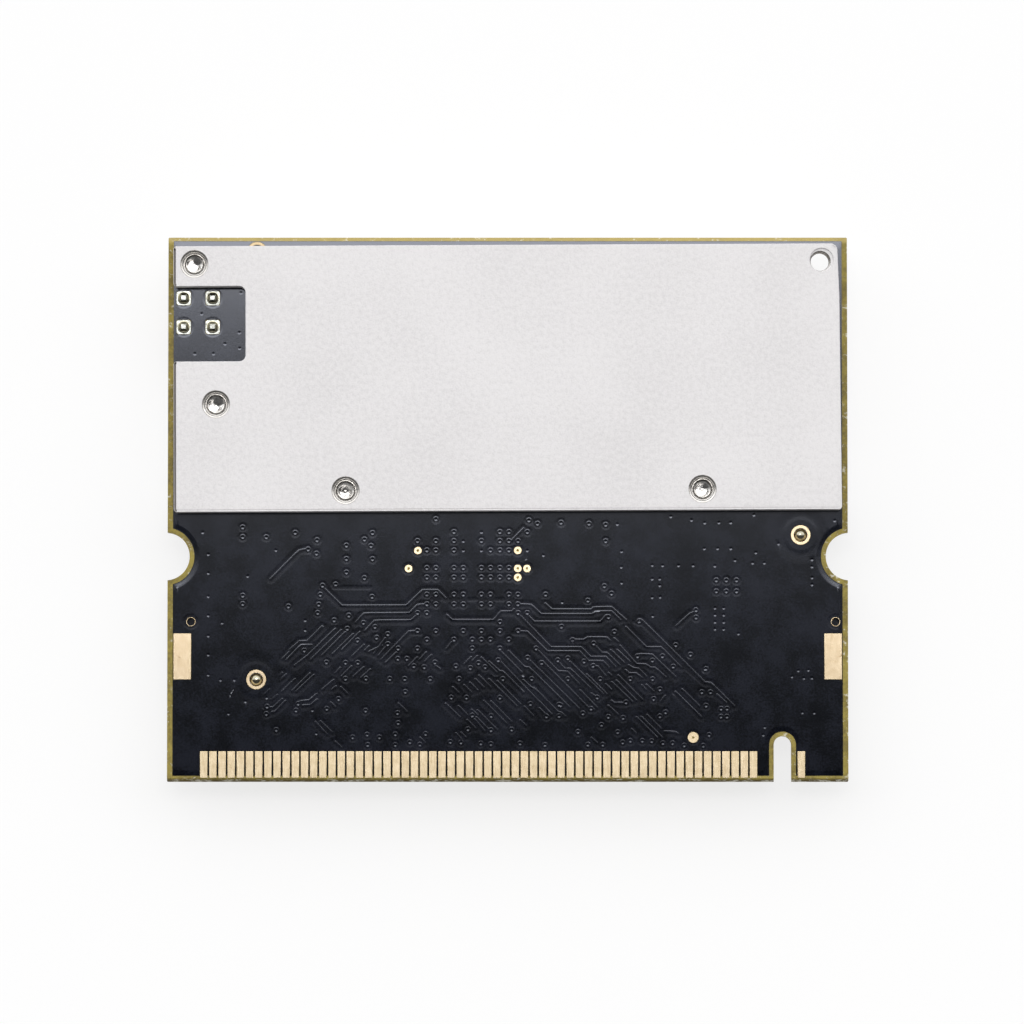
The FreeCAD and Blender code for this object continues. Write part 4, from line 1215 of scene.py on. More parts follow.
@dataclass(frozen=True)
class Relief:
    """How the mask rises over the copper below it, in millimetres.

    Tracks and via rings stand between shallow channels in a copper area, and a via leaves a dimple.
    """

    step: float = 0.0021
    flank: float = 0.045
    shore: float = 0.18
    track_shore: float = 0.26
    track_half: float = 0.065
    channel: float = 0.11
    gap_half: float = 0.08
    via_ring: float = 0.21
    via_channel: float = 0.06
    dimple_radius: float = 0.055
    dimple_flank: float = 0.11
    dimple_depth: float = 0.0044
    core_radius: float = 0.03
    core_flank: float = 0.03
    core_depth: float = 0.0085
    deepest: float = 0.028
    margin: float = 0.04
    margin_flank: float = 0.42
    margin_depth: float = 0.014
    ring_gap: float = 0.10
    collar_radius: float = 1.30
    collar_flank: float = 0.36
    collar_depth: float = 0.0028
    collar_run: float = 0.9
    leg_halo: float = 0.76
    slices: tuple[float, ...] = (0.0, 0.3, 0.7, 1.0)

    def rows(self, start: float, width: float) -> list[float]:
        """Distances at which a flank needs a row of points."""
        return [start + width * share for share in self.slices]

    def track_rows(self) -> list[float]:
        """Rows beside a track: its own flank and the far side of its channel."""
        return self.rows(self.track_half, self.flank) + self.rows(self.shore_start, self.track_shore)

    @property
    def shore_start(self) -> float:
        """Where a track's channel ends."""
        return self.track_half + self.flank + self.channel

    @property
    def via_shore(self) -> float:
        """Where a via's channel ends."""
        return self.via_ring + self.flank + self.via_channel

    def to_track(self) -> float:
        """From a bright flank to the middle of its track."""
        return self.track_half + self.flank / 2

    def to_gap(self) -> float:
        """From the near edge of a gap to its middle."""
        return self.gap_half + self.shore / 2


def nearest(points: np.ndarray, paths: Sequence[Loop]) -> np.ndarray:
    """Each point's distance to the nearest of some paths.

    Args:
        points: The points.
        paths: The paths. A point that is not NEAR any of them gets FAR.

    Returns:
        The distances.
    """
    found = np.full(len(points), FAR)
    for path in paths:
        for start, end in zip(np.array(path)[:-1], np.array(path)[1:]):
            along = end - start
            near = np.all(points > np.minimum(start, end) - NEAR, axis=1)
            near &= np.all(points < np.maximum(start, end) + NEAR, axis=1)
            local = points[near] - start
            share = np.clip(local @ along / (along @ along), 0, 1)
            gap = np.linalg.norm(local - share[:, None] * along, axis=1)
            found[near] = np.minimum(found[near], gap)
    return found


def nearest_place(points: np.ndarray, places: Sequence[Place]) -> np.ndarray:
    """Each point's distance to the nearest of some places.

    Args:
        points: The points.
        places: The places.

    Returns:
        The distances.
    """
    found = np.full(len(points), FAR)
    for place in places:
        found = np.minimum(found, np.linalg.norm(points - np.array(place), axis=1))
    return found


@dataclass
class Board:
    """The laminate, its masks and its gold: all that is one circuit board.

    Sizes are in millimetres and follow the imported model's.
    """

    view: PhotoView
    relief: Relief
    corner_radius: float = 0.1
    bevel_run: float = 0.3
    bevel_drop: float = 0.25
    notch_radius: float = 2.1
    notch_outset: float = 0.17
    notch_height: float = 19.7
    notch_margin: float = 0.42
    slot_inset: float = 5.75
    slot_width: float = 1.55
    slot_depth: float = 3.98
    slot_margin: float = 0.4
    mask_gap: float = 0.02
    barrel_wall: float = 0.05
    screw_hole_radius: float = 1.2
    plug_hole_radius: float = 0.60
    tooling_hole_radius: float = 0.35
    test_hole_radius: float = 0.1
    leg_hole_radius: float = 0.45
    leg_front_radius: float = 0.6
    finger_bevel: float = 0.018
    pad_etch: float = 0.06
    pad_edge: float = 0.015
    test_pad_edge: float = 0.012
    collar_reach: float = 3.0
    skin_levels: Place = (0.05, 0.15)

    def __post_init__(self) -> None:
        """Reads the board's edges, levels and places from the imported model."""
        self.box = Span.of("board_laminate")
        self.back = Span.of("back_solder_mask")
        self.front = Span.of("front_solder_mask")
        self.fingers = Span.parts("back_edge_contacts")
        self.ground = Span.parts("back_ground_pads")
        self.screw_rings = Span.parts("screw_hole_sleeves")
        self.plug_rings = Span.parts("plug_rings")
        self.tooling = Span.parts("tooling_rings")
        self.test_rings = Span.parts("test_ring_pads")
        self.leg_pads = Span.parts("jack_leg_sleeves")
        self.slot_x = self.box.x1 - self.slot_inset

    def build(self) -> None:
        """Makes every piece of the board."""
        self.laminate()
        self.back_mask()
        self.front_mask()
        self.gold()

    def notch(self, side: int, extra: float) -> tuple[Place, float]:
        """The centre and radius of the clip notch at the left (-1) or right (1) side."""
        edge = self.box.x1 if side > 0 else self.box.x0
        return (edge + side * self.notch_outset, self.box.y0 + self.notch_height), self.notch_radius + extra

    def outline(self, span: Span, extra: float = 0, slot_extra: float = 0, corner: float = 0) -> Loop:
        """The board's or a mask's outline, anticlockwise, with both notches and the key slot.

        Args:
            span: The board's or the mask's box.
            extra: How much wider the notches' radius is than the board's own.
            slot_extra: How much wider the slot is at each side.
            corner: The corners' radius.

        Returns:
            The outline.
        """
        low, high, reach = span.y0, span.y1, span.x1
        half = self.slot_width / 2 + slot_extra
        slot_top = self.box.y0 + self.slot_depth - self.slot_width / 2
        loop = self.corner_arc((-reach, low), corner, 180) + [(self.slot_x - half, low)]
        loop += arc((self.slot_x, slot_top), half, 180, 0, 28) + [(self.slot_x + half, low)]
        loop += self.corner_arc((reach, low), corner, 270) + self.notch_arc(1, extra, reach)
        loop += self.corner_arc((reach, high), corner, 0) + self.corner_arc((-reach, high), corner, 90)
        return loop + self.notch_arc(-1, extra, reach)

    @staticmethod
    def corner_arc(corner: Place, radius: float, start: float) -> Loop:
        """The round of an outer corner.

        Args:
            corner: Where the bare corner would be.
            radius: The round's radius, or 0 for the bare corner.
            start: The angle in degrees at which its arc starts.

        Returns:
            The corner's points.
        """
        if radius <= 0:
            return [corner]
        turn = math.radians(start + 45)
        out = radius * math.sqrt(2)
        centre = (corner[0] - out * math.cos(turn), corner[1] - out * math.sin(turn))
        return arc(centre, radius, start, start + 90, 5)

    def notch_arc(self, side: int, extra: float, reach: float) -> Loop:
        """A notch's arc, from where it meets the side edge to where it leaves it.

        Args:
            side: -1 for the left notch and 1 for the right one.
            extra: How much wider its radius is than the board's own.
            reach: The side edge's distance from the middle.

        Returns:
            The arc's points.
        """
        (cx, cy), radius = self.notch(side, extra)
        half = math.degrees(math.acos((abs(cx) - reach) / radius))
        inwards = 180 if side > 0 else 0
        return arc((cx, cy), radius, inwards + half, inwards - half, 40)

    def laminate(self) -> None:
        """The glass-fibre board with its bevelled contact edge and its holes."""
        box = self.box
        loop = self.outline(box, corner=self.corner_radius)
        top = [self.bevelled(p) for p in loop]
        holes = []
        for spans, radius in (
            (self.screw_rings, self.screw_hole_radius),
            (self.plug_rings, self.plug_hole_radius),
            (self.tooling, self.tooling_hole_radius),
            (self.leg_pads, self.leg_hole_radius),
        ):
            holes += [circle(s.centre, radius + self.barrel_wall) for s in spans]
        form = Form()
        drops = [self.bevel_drop if self.on_edge(p) else 0.0 for p in loop]
        form.stack([
            at(top, box.z0),
            [(*p, box.z0 + drop) for p, drop in zip(loop, drops)],
            [(*p, box.z1 - drop) for p, drop in zip(loop, drops)],
            at(top, box.z1),
        ])
        form.lid([top] + holes, box.z1, True)
        form.lid([top] + holes, box.z0, False)
        for hole in holes:
            form.wall(at(hole, box.z1), at(hole, box.z0))
        form.piece("bare_board", Looks.LAMINATE, ["board_laminate"], 30)

    def on_edge(self, place: Place) -> bool:
        """Whether a point of the outline lies on the contact edge."""
        return place[1] < self.box.y0 + self.bevel_run

    def bevelled(self, place: Place) -> Place:
        """A point of the outline as it is on the board's faces, inside the bevel."""
        return place[0], max(place[1], self.box.y0 + self.bevel_run)

    def comb(self, spans: Sequence[Span], outline: Loop) -> Loop:
        """A mask outline that runs round each contact at the contact edge.

        Args:
            spans: The contacts.
            outline: The plain outline.

        Returns:
            The outline with a notch for each contact.
        """
        low = min(y for _, y in outline)
        gap = self.mask_gap
        loop: Loop = []
        for here, ahead in zip(outline, outline[1:] + outline[:1]):
            loop.append(here)
            if here[1] > low + 1e-6 or ahead[1] > low + 1e-6 or ahead[0] <= here[0]:
                continue
            for span in spans:
                if here[0] < span.x0 - gap and span.x1 + gap < ahead[0]:
                    top = span.y1 + gap
                    loop += [(span.x0 - gap, low), (span.x0 - gap, top)]
                    loop += [(span.x1 + gap, top), (span.x1 + gap, low)]
        return loop

    def openings(self, back: bool) -> list[Loop]:
        """The openings of a mask round pads and holes.

        Args:
            back: Whether it is the back's mask.

        Returns:
            One loop for each.
        """
        gap = self.mask_gap
        loops = [s.outline(gap, 0.08) for s in self.ground]
        for span in self.screw_rings + self.plug_rings + self.tooling:
            loops.append(circle(span.centre, span.radius - self.pad_etch + gap, 40))
        if back:
            loops += [circle(s.centre, s.radius + gap, 24) for s in self.test_rings]
            loops += [s.outline(gap, 0.16) for s in self.leg_pads]
        else:
            loops += [circle(s.centre, self.leg_front_radius + gap, 28) for s in self.leg_pads]
        return loops

    def on_mask(self, seen: Iterable[Place]) -> Loop:
        """Places on the back's mask that are seen at these pixels."""
        return [self.view.spot(across, down, self.back.z1) for across, down in seen]

    def grid(self, mark: str) -> Loop:
        """Pixels of the grid's vias that bear this mark."""
        marks = [(x, y, sign) for y, row in GRID_ROWS.items() for x, sign in zip(GRID_COLUMNS, row)]
        return [(x, y) for x, y, sign in marks if sign == mark]

    def middles(self, seen: Sequence[Loop], across: float) -> list[Loop]:
        """The middle line of each track or gap, which lies across from the flank that is seen."""
        return [self.shaded_side(self.on_mask(line), across) for line in seen]

    @staticmethod
    def shaded_side(line: Loop, distance: float) -> Loop:
        """A line moved across its run, towards the contact edge for a positive distance."""
        ahead = line[-1][0] > line[0][0]
        return beside(line, -distance if ahead else distance)

    def back_mask(self) -> None:
        """The back's mask, raised and dimpled by the tracks and vias below it."""
        relief = self.relief
        top, base = self.back.z1, self.back.z0
        outline = self.outline(self.back, self.notch_margin, self.slot_margin)
        loops = [self.comb(self.fingers, outline)] + self.openings(True)
        vias = self.on_mask(VIAS + SIX_VIAS + self.grid("o"))
        dots = self.on_mask(DOTS + EIGHT_DOTS + WINDOW_DOTS + self.grid("."))
        tracks = self.middles(TRACKS, relief.to_track())
        gaps = self.middles(GAP_EDGES, -relief.to_gap())
        rows: list[Loop] = []
        for track in tracks:
            rows += [around(track, d) for d in relief.track_rows()]
        for gap in gaps:
            rows += [around(gap, d) for d in relief.rows(relief.gap_half, relief.shore)]
        dimple = relief.rows(relief.dimple_radius, relief.dimple_flank)
        dimple += relief.rows(relief.core_radius, relief.core_flank)[:1]
        rings = relief.rows(relief.via_ring, relief.flank) + relief.rows(relief.via_shore, relief.shore)
        for via in vias:
            rows += [circle(via, radius, 14) for radius in dimple + rings]
        for dot in dots:
            rows += [circle(dot, radius, 14) for radius in dimple]
        for centre, near in self.halos():
            rows += [circle(centre, d, 24) for d in relief.rows(near, relief.shore)]
        far = relief.collar_radius + relief.collar_flank
        for span in self.collars():
            for near, width in ((relief.collar_radius, relief.collar_flank), (far, relief.collar_run)):
                rows += [circle(span.centre, d, 40) for d in relief.rows(near, width)]
        rows += [inset(outline, d) for d in relief.rows(relief.margin, relief.margin_flank)]
        points, faces = sheet(loops, rows)
        level = top - self.fall(points, tracks, gaps, vias, dots, outline)
        form = Form()
        bent = np.ptp(level[np.array(faces)], axis=1) > 1e-5
        form.add([(x, y, z) for (x, y), z in zip(points, level)], faces, [bool(b) for b in bent])
        self.edge_walls(form, base)
        form.lid(loops, base, False)
        form.piece("back_mask", Looks.MASK, ["back_solder_mask"], 50)

    def halos(self) -> list[tuple[Place, float]]:
        """Where copper stops round small bare pads, each as a centre and a radius."""
        beyond = self.mask_gap + self.relief.ring_gap
        found = [(s.centre, s.radius + beyond) for s in self.test_rings + self.tooling]
        return found + [(s.centre, self.relief.leg_halo) for s in self.leg_pads]

    def collars(self) -> list[Span]:
        """The plugged rings that stand on a slightly raised round of mask."""
        return [span for span in self.plug_rings if span.y1 < self.box.y1 - self.collar_reach]

    @staticmethod
    def edge_walls(form: Form, base: float) -> None:
        """Drops a wall from each open edge of a form's sheet.

        Args:
            form: The form, which holds only the sheet.
            base: The level that the walls reach down to.
        """
        sides = dict.fromkeys(pair for face in form.faces for pair in zip(face, face[1:] + face[:1]))
        for start, end in [pair for pair in sides if pair[::-1] not in sides]:
            (x0, y0, z0), (x1, y1, z1) = form.points[start], form.points[end]
            corners = [(x0, y0, base), (x1, y1, base), (x1, y1, z1), (x0, y0, z0)]
            form.add(corners, [(0, 1, 2, 3)], [False])

    def fall(
        self, points: np.ndarray, tracks: list[Loop], gaps: list[Loop], vias: Loop, dots: Loop, outline: Loop
    ) -> np.ndarray:
        """How far the mask lies below its top at each point.

        Args:
            points: The places.
            tracks: The tracks' middle lines.
            gaps: The gaps' middle lines.
            vias: The ringed vias.
            dots: The plain ones.
            outline: The mask's outline.

        Returns:
            The depth at each point, in millimetres.
        """
        relief = self.relief
        to_track, to_via = nearest(points, tracks), nearest_place(points, vias)
        raised = np.maximum(
            ramp(to_track, relief.track_half, relief.flank), ramp(to_via, relief.via_ring, relief.flank)
        )
        etched = np.maximum(
            ramp(to_track, relief.shore_start, relief.track_shore),
            ramp(to_via, relief.via_shore, relief.shore),
        )
        etched = np.maximum(etched, ramp(nearest(points, gaps), relief.gap_half, relief.shore))
        for centre, near in self.halos():
            etched = np.maximum(etched, ramp(nearest_place(points, [centre]), near, relief.shore))
        edge = ramp(nearest(points, [outline + outline[:1]]), relief.margin, relief.margin_flank)
        depth = np.maximum(relief.step * etched * (1 - raised), relief.margin_depth * edge)
        away = nearest_place(points, [span.centre for span in self.collars()])
        collar = 1 - ramp(away, relief.collar_radius, relief.collar_flank)
        collar = collar * ramp(away, relief.collar_radius + relief.collar_flank, relief.collar_run)
        depth = np.maximum(depth, relief.collar_depth * collar)
        to_hole = nearest_place(points, vias + dots)
        depth += relief.dimple_depth * ramp(to_hole, relief.dimple_radius, relief.dimple_flank)
        depth += relief.core_depth * ramp(to_hole, relief.core_radius, relief.core_flank)
        return np.minimum(depth, relief.deepest)

    def front_mask(self) -> None:
        """The front's mask, a sheet with openings, which also closes the tooling holes."""
        span = self.front
        outline = self.outline(span, self.notch_margin, self.slot_margin)
        first, *_, before_slot, last = Span.parts("front_edge_contacts")
        groups = [Span((first.x0, first.y0, 0), (before_slot.x1, first.y1, 0)), last]
        loops = [self.comb(groups, outline)] + self.openings(False)
        form = Form()
        form.lid(loops, span.z0, False)
        form.lid(loops, span.z1, True)
        for loop in loops:
            form.wall(at(loop, span.z0), at(loop, span.z1))
        low, high = (self.box.z0 + level for level in self.skin_levels)
        across = self.tooling_hole_radius
        for hole in self.tooling:
            form.lathe(hole.centre, [(0.0, low), (across, low), (across, high), (0.0, high)], 40)
        form.piece("front_mask", Looks.MASK, ["front_solder_mask"], 20)

    def gold(self) -> None:
        """The contacts, ground pads, test pads and plated holes."""
        for name, node, look in (
            ("back_fingers", "back_edge_contacts", Looks.GOLD),
            ("front_fingers", "front_edge_contacts", Looks.GOLD),
            ("back_clip_pads", "back_ground_pads", Looks.PAD_GOLD),
            ("front_clip_pads", "front_ground_pads", Looks.GOLD),
        ):
            softened(name, node, look, self.finger_bevel)
        for name, node, spans, hole, look in (
            ("screw_hole", "screw_hole_sleeves", self.screw_rings, self.screw_hole_radius, Looks.GOLD),
            ("plug_hole", "plug_rings", self.plug_rings, self.plug_hole_radius, Looks.PAD_GOLD),
            ("tooling", "tooling_rings", self.tooling, self.tooling_hole_radius, Looks.GOLD),
        ):
            form = Form()
            for span in spans:
                self.plated_hole(form, span, hole)
            form.piece(name + "_plating", look, [node], 35)
        form = Form()
        for span in self.test_rings:
            self.ring_pad(form, span)
        form.piece("test_pads", Looks.GOLD, ["test_ring_pads"], 35)

    def plated_hole(self, form: Form, span: Span, hole: float) -> None:
        """A hole's barrel with a ring pad on each face, its edges a little round.

        Args:
            form: The form that it goes into.
            span: The pads' box.
            hole: The barrel's inner radius.
        """
        low, high, edge = self.box.z0, self.box.z1, self.pad_edge
        barrel, pad = hole + self.barrel_wall, span.radius - self.pad_etch
        profile = [
            (barrel, low), (pad, low), (pad, span.z0 + edge), (pad - edge, span.z0), (hole + edge, span.z0),
            (hole, span.z0 + edge), (hole, span.z1 - edge), (hole + edge, span.z1), (pad - edge, span.z1),
            (pad, span.z1 - edge), (pad, high), (barrel, high), (barrel, low),
        ]
        form.lathe(span.centre, profile[::-1])

    def ring_pad(self, form: Form, span: Span) -> None:
        """A bare ring pad on the back, domed a little towards its hole.

        Args:
            form: The form that it goes into.
            span: The pad's box.
        """
        hole, pad, edge = self.test_hole_radius, span.radius, self.test_pad_edge
        profile = [
            (pad, span.z0), (hole, span.z0), (hole, span.z1 - 2 * edge), (hole + 2 * edge, span.z1),
            (pad - edge, span.z1), (pad, span.z1 - edge), (pad, span.z0),
        ]
        form.lathe(span.centre, profile, 32)


@dataclass
class PlateShape:
    """The heat plate's outline, and the skew that it sits at."""

    corner_radius: float = 0.26
    far_corner_radius: float = 0.6
    lean: tuple[Place, ...] = ((0.10, 4.6), (0.24, 0.8))
    window_width: float = 6.29
    window_height: float = 6.59
    window_drop: float = 3.53
    window_radius: float = 0.55
    side_inset: float = 0.55
    right_gap: float = 0.06
    top_inset: float = 0.78
    bottom_height: float = 23.62
    skew: float = 0.25
    corner_steps: int = 10
    groove_from: float = 0.045
    groove_reach: float = 0.24
    faint_groove: float = 0.08

    def __post_init__(self) -> None:
        """Works out the unskewed edges from the board's."""
        board = Span.of("board_laminate")
        self.x0, self.x1 = board.x0 + self.side_inset, board.x1 - self.side_inset - self.right_gap
        self.y0, self.y1 = board.y0 + self.bottom_height, board.y1 - self.top_inset
        self.window_right = self.x0 + self.window_width
        self.window_top = self.y1 - self.window_drop
        self.window_bottom = self.window_top - self.window_height

    @property
    def pivot(self) -> Place:
        """The point that the skew turns about."""
        return 0.0, (self.y0 + self.y1) / 2

    def loop(self) -> Loop:
        """The outline, with round corners and the window at the left.

        Returns:
            Its points, anticlockwise.
        """
        r, w, far = self.corner_radius, self.window_radius, self.far_corner_radius
        x0, x1, y0, y1 = self.x0, self.x1, self.y0, self.y1
        right, top, low = self.window_right, self.window_top, self.window_bottom
        # Centre, radius, start and end of each corner's arc
        corners = (
            (x0 + r, y0 + r, r, 180, 270), (x1 - r, y0 + r, r, 270, 360),
            (x1 - self.lean[-1][0] - far, y1 - far, far, 0, 90), (x0 + r, y1 - r, r, 90, 180),
            (x0 + r, top + r, r, 180, 270), (right - w, top - w, w, 90, 0), (right - w, low + w, w, 0, -90),
            (x0 + r, low - r, r, 90, 180),
        )
        arcs = [arc((x, y), radius, *turn, self.corner_steps) for x, y, radius, *turn in corners]
        arcs.insert(2, [(x1 - inwards, y1 - below) for inwards, below in self.lean])
        return [place for run in arcs for place in run]

    def unskewed(self, place: Place) -> Place:
        """Where a skewed place would be without the skew.

        Args:
            place: The skewed place.

        Returns:
            The unskewed one.
        """
        form = Form()
        form.add([(*place, 0.0)], [])
        form.tilt(self.pivot, -self.skew)
        return form.points[0][:2]

    def rim(self, profile: Sequence[Place], level: float) -> list[list]:
        """Rings from the outline's wall into the flat face.

        A groove runs inside the rim at the left, and as a faint line at the right and below.

        Args:
            profile: Pairs of the distance from the outline and the depth below the face.
            level: The flat face's height.

        Returns:
            The rings, from the wall to the face.
        """
        rings = []
        for distance, depth in profile:
            ring = inset(self.loop(), distance) if distance > 0 else self.loop()
            groove = distance > self.groove_from
            shares = [self.groove_share(x, y) if groove else 1.0 for x, y in ring]
            rings.append([(x, y, level - depth * share) for (x, y), share in zip(ring, shares)])
        return rings

    def groove_share(self, x: float, y: float) -> float:
        """How deep the groove is at a place near the outline.

        Args:
            x: The place's x.
            y: Its y.

        Returns:
            The share of the full depth.
        """
        near = self.groove_reach
        at_window = x > self.x0 + near and self.window_bottom - near < y < self.window_top + near
        if at_window or y > self.y1 - near:
            return 0.0
        return 1.0 if x < self.x0 + near else self.faint_groove


@dataclass
class HeatPlate:
    """The pale cast plate on the board's back, with its tapped holes."""

    shape: PlateShape
    # Distance from the outline and depth below the face, from the wall inwards
    rim: tuple[Place, ...] = (
        (0, 0.07), (0.012, 0.03), (0.03, 0.012), (0.045, 0.012), (0.05, 0.5), (0.195, 0.5), (0.2, 0.03),
        (0.215, 0),
    )
    # Radius, depth below the face and shift to the upper right of the tapped holes' mouths
    mouth: tuple[Step, ...] = (
        (1.23, 0, 0), (1.19, 0.07, 0), (1.11, 0.09, 0), (1.06, 0.10, 0), (0.99, 0.24, 0),
        (0.93, 0.26, 0), (0.84, 0.36, 0), (0.81, 0.40, 0),
    )
    open_mouth: tuple[Step, ...] = (
        (1.06, 0, 0.13), (1.02, 0.11, 0.13), (0.98, 0.115, 0.10), (0.92, 0.12, 0.02), (0.90, 0.20, 0),
        (0.86, 0.22, 0), (0.83, 0.34, 0), (0.81, 0.40, 0),
    )
    # Rings of the open hole's mouth that are cast, not cut
    cast_rings: int = 3
    hole_radius: float = 0.8
    pitch: float = 0.4
    # Depth of the thread's groove, and how far down the pitch it is reached
    thread: tuple[Place, ...] = ((0, 0), (0.07, 0.4), (0.07, 0.5), (0, 0.9))
    thread_start: float = 0.03
    pocket_rise: float = 0.3
    pocket_margin: float = 0.22

    def __post_init__(self) -> None:
        """Reads the plate's levels and its holes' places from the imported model."""
        self.box = Span.of("heat_plate")
        self.pad = Span.of("thermal_pad")
        screws = [self.shape.unskewed(s.centre) for s in Span.parts("cover_screws")]
        sleeves = [s.centre for s in Span.parts("screw_hole_sleeves")]
        self.open_hole = max(sleeves, key=lambda p: p[0] + p[1])
        self.holes = screws + [self.open_hole]

    def hole_wall(self, hole: Place) -> list[list]:
        """A tapped hole's wall: a stepped mouth, then thread grooves.

        Args:
            hole: The hole's axis.

        Returns:
            Its rings from the top down.
        """
        top, low, pitch = self.box.z1, self.box.z0, self.pitch
        mouth = self.open_mouth if hole == self.open_hole else self.mouth
        profile = [(r, top - depth, shift) for r, depth, shift in mouth]
        level = top - mouth[-1][1] - self.thread_start
        while level - pitch > low:
            profile += [(self.hole_radius + cut, level - pitch * down, 0) for cut, down in self.thread]
            level -= pitch
        profile.append((self.hole_radius, low, 0))
        return [[(x + shift, y + shift, z) for x, y in circle(hole, r, 40)] for r, z, shift in profile]

    def build(self) -> None:
        """Makes the plate."""
        form = Form()
        top, low = self.box.z1, self.box.z0
        rim = self.shape.rim(self.rim, top)
        outer = self.shape.loop()
        form.stack([at(outer, low)] + rim)
        rings = [self.hole_wall(hole) for hole in self.holes]
        mouths, feet = ([flat(wall[end]) for wall in rings] for end in (0, -1))
        form.lid([flat(rim[-1])] + mouths, top, True)
        walls = Form()
        for hole, wall in zip(self.holes, rings):
            cast = self.cast_rings if hole == self.open_hole else 0
            form.stack(wall[:cast + 1])
            walls.stack(wall[cast:])
        walls.tilt(self.shape.pivot, self.shape.skew)
        walls.piece("tapped_hole_walls", Looks.MACHINED, ["heat_plate"], 20)
        pocket = self.pocket()
        form.lid([outer, pocket] + feet, low, False)
        roof = low + self.pocket_rise
        form.wall(at(pocket[::-1], low), at(pocket[::-1], roof))
        form.lid([pocket], roof, False)
        form.tilt(self.shape.pivot, self.shape.skew)
        form.piece("cast_heat_plate", Looks.CAST, ["heat_plate"], 38)

    def pocket(self) -> Loop:
        """The outline of the shallow pocket over the thermal pad, unskewed."""
        x, y = self.shape.unskewed(self.pad.centre)
        half_x = (self.pad.x1 - self.pad.x0) / 2 + self.pocket_margin
        half_y = (self.pad.y1 - self.pad.y0) / 2 + self.pocket_margin
        return rectangle(x - half_x, x + half_x, y - half_y, y + half_y, 0.2)


@dataclass
class Screws:
    """The cover's four screws: recessed heads below, chamfered tips in the plate above."""

    head_radius: float = 1.7
    head_height: float = 1.1
    head_round: float = 0.45
    core_radius: float = 0.77
    thread_radius: float = 0.98
    pitch: float = 0.4
    cross_length: float = 1.9
    cross_width: float = 0.4
    cross_depth: float = 0.6
    cross_taper: float = 0.8
    bare_tip: float = 0.3
    # The edge of a tip, from its core inwards: steps in and depths below the tip
    keen_edge: tuple[Place, ...] = ((0, 0.3), (0.02, 0.05), (0.07, 0), (0.11, 0.02))
    blunt_edge: tuple[Place, ...] = ((0, 0.3), (0.03, 0.06), (0.09, 0), (0.14, 0.03))
    # The dish in each tip: radius, depth and shift towards the lower left. Each was cut differently
    dishes: tuple[tuple[Step, ...], ...] = (
        ((0.44, 0.30, 0.13), (0.10, 0.31, 0.05), (0.07, 0.40, 0.04), (0, 0.40, 0.04)),
        ((0.40, 0.34, 0.18), (0.11, 0.35, 0.08), (0.07, 0.44, 0.07), (0, 0.44, 0.07)),
        ((0.46, 0.24, 0.04), (0.24, 0.42, 0.10), (0.12, 0.45, 0.09), (0.09, 0.37, 0.03), (0, 0.36, 0.03)),
        ((0.46, 0.24, 0.08), (0.16, 0.25, 0.04), (0.12, 0.33, 0.03), (0, 0.33, 0.03)),
    )

    def build(self) -> None:
        """Makes all four in one piece."""
        form = Form()
        levels = Span.of("cover_screws")
        board = Span.of("back_solder_mask")
        for number, span in enumerate(Span.parts("cover_screws")):
            self.screw(form, span.centre, levels.z0, board.z1, levels.z1, number)
        form.piece("cover_screw_set", Looks.STEEL, ["cover_screws"], 35)

    def screw(self, form: Form, centre: Place, low: float, back: float, tip: float, number: int) -> None:
        """One screw.

        Args:
            form: The form that it goes into.
            centre: Its axis.
            low: The head's lowest level.
            back: The board's back.
            tip: The tip's level.
            number: Which of the four it is, from left to right.
        """
        seat = low + self.head_height
        head, core, thread, bend = self.head_radius, self.core_radius, self.thread_radius, self.head_round
        profile = [(head, seat), (head, low + bend)]
        for degrees in (20, 40, 60, 80):
            turn = math.radians(degrees)
            profile.append((head - bend * (1 - math.cos(turn)), low + bend * (1 - math.sin(turn))))
        inner = head - bend
        profile.append((inner, low))
        cross = self.cross(centre)
        form.lathe(centre, profile[::-1])
        form.lid([circle(centre, inner, 48), cross], low, False)
        floor = low + self.cross_depth
        narrow = self.cross(centre, self.cross_taper)
        form.wall(at(cross[::-1], low), at(narrow[::-1], floor))
        form.lid([narrow], floor, False)
        shank = [(head, seat), (thread, seat)]
        level = seat
        while level + self.pitch < back:
            ahead = level + self.pitch
            shank += [(thread, level + 0.05), (core, level + self.pitch * 0.5), (thread, ahead)]
            level = ahead
        shank += [(thread, back - 0.01), (core, back), (core, tip - self.bare_tip)]
        form.lathe(centre, shank)
        x, y = centre
        form.stack([
            at(circle((x - shift, y - shift), max(r, 1e-4), 48), tip - depth)
            for r, depth, shift in self.tip_profile(number)
        ])

    def cross(self, centre: Place, scale: float = 1) -> Loop:
        """The cross recess's outline.

        Args:
            centre: The screw's axis.
            scale: Its size as a share of the recess's mouth.

        Returns:
            The outline.
        """
        x, y = centre
        a, b = self.cross_length / 2 * scale, self.cross_width / 2 * scale
        arm = [(a, -b), (a, b), (b, b)]
        corners = []
        for _ in range(4):
            corners += arm
            arm = [(-dy, dx) for dx, dy in arm]
        return [(x + dx, y + dy) for dx, dy in corners]

    def tip_profile(self, number: int) -> list[Step]:
        """A dished tip's rings as (radius, depth, shift), from its edge inwards.

        Args:
            number: Which of the four screws it is on, from left to right.

        Returns:
            The rings.
        """
        edge = self.keen_edge if number < 2 else self.blunt_edge
        rings = [(self.core_radius - inwards, depth, 0) for inwards, depth in edge]
        return rings + list(self.dishes[number])


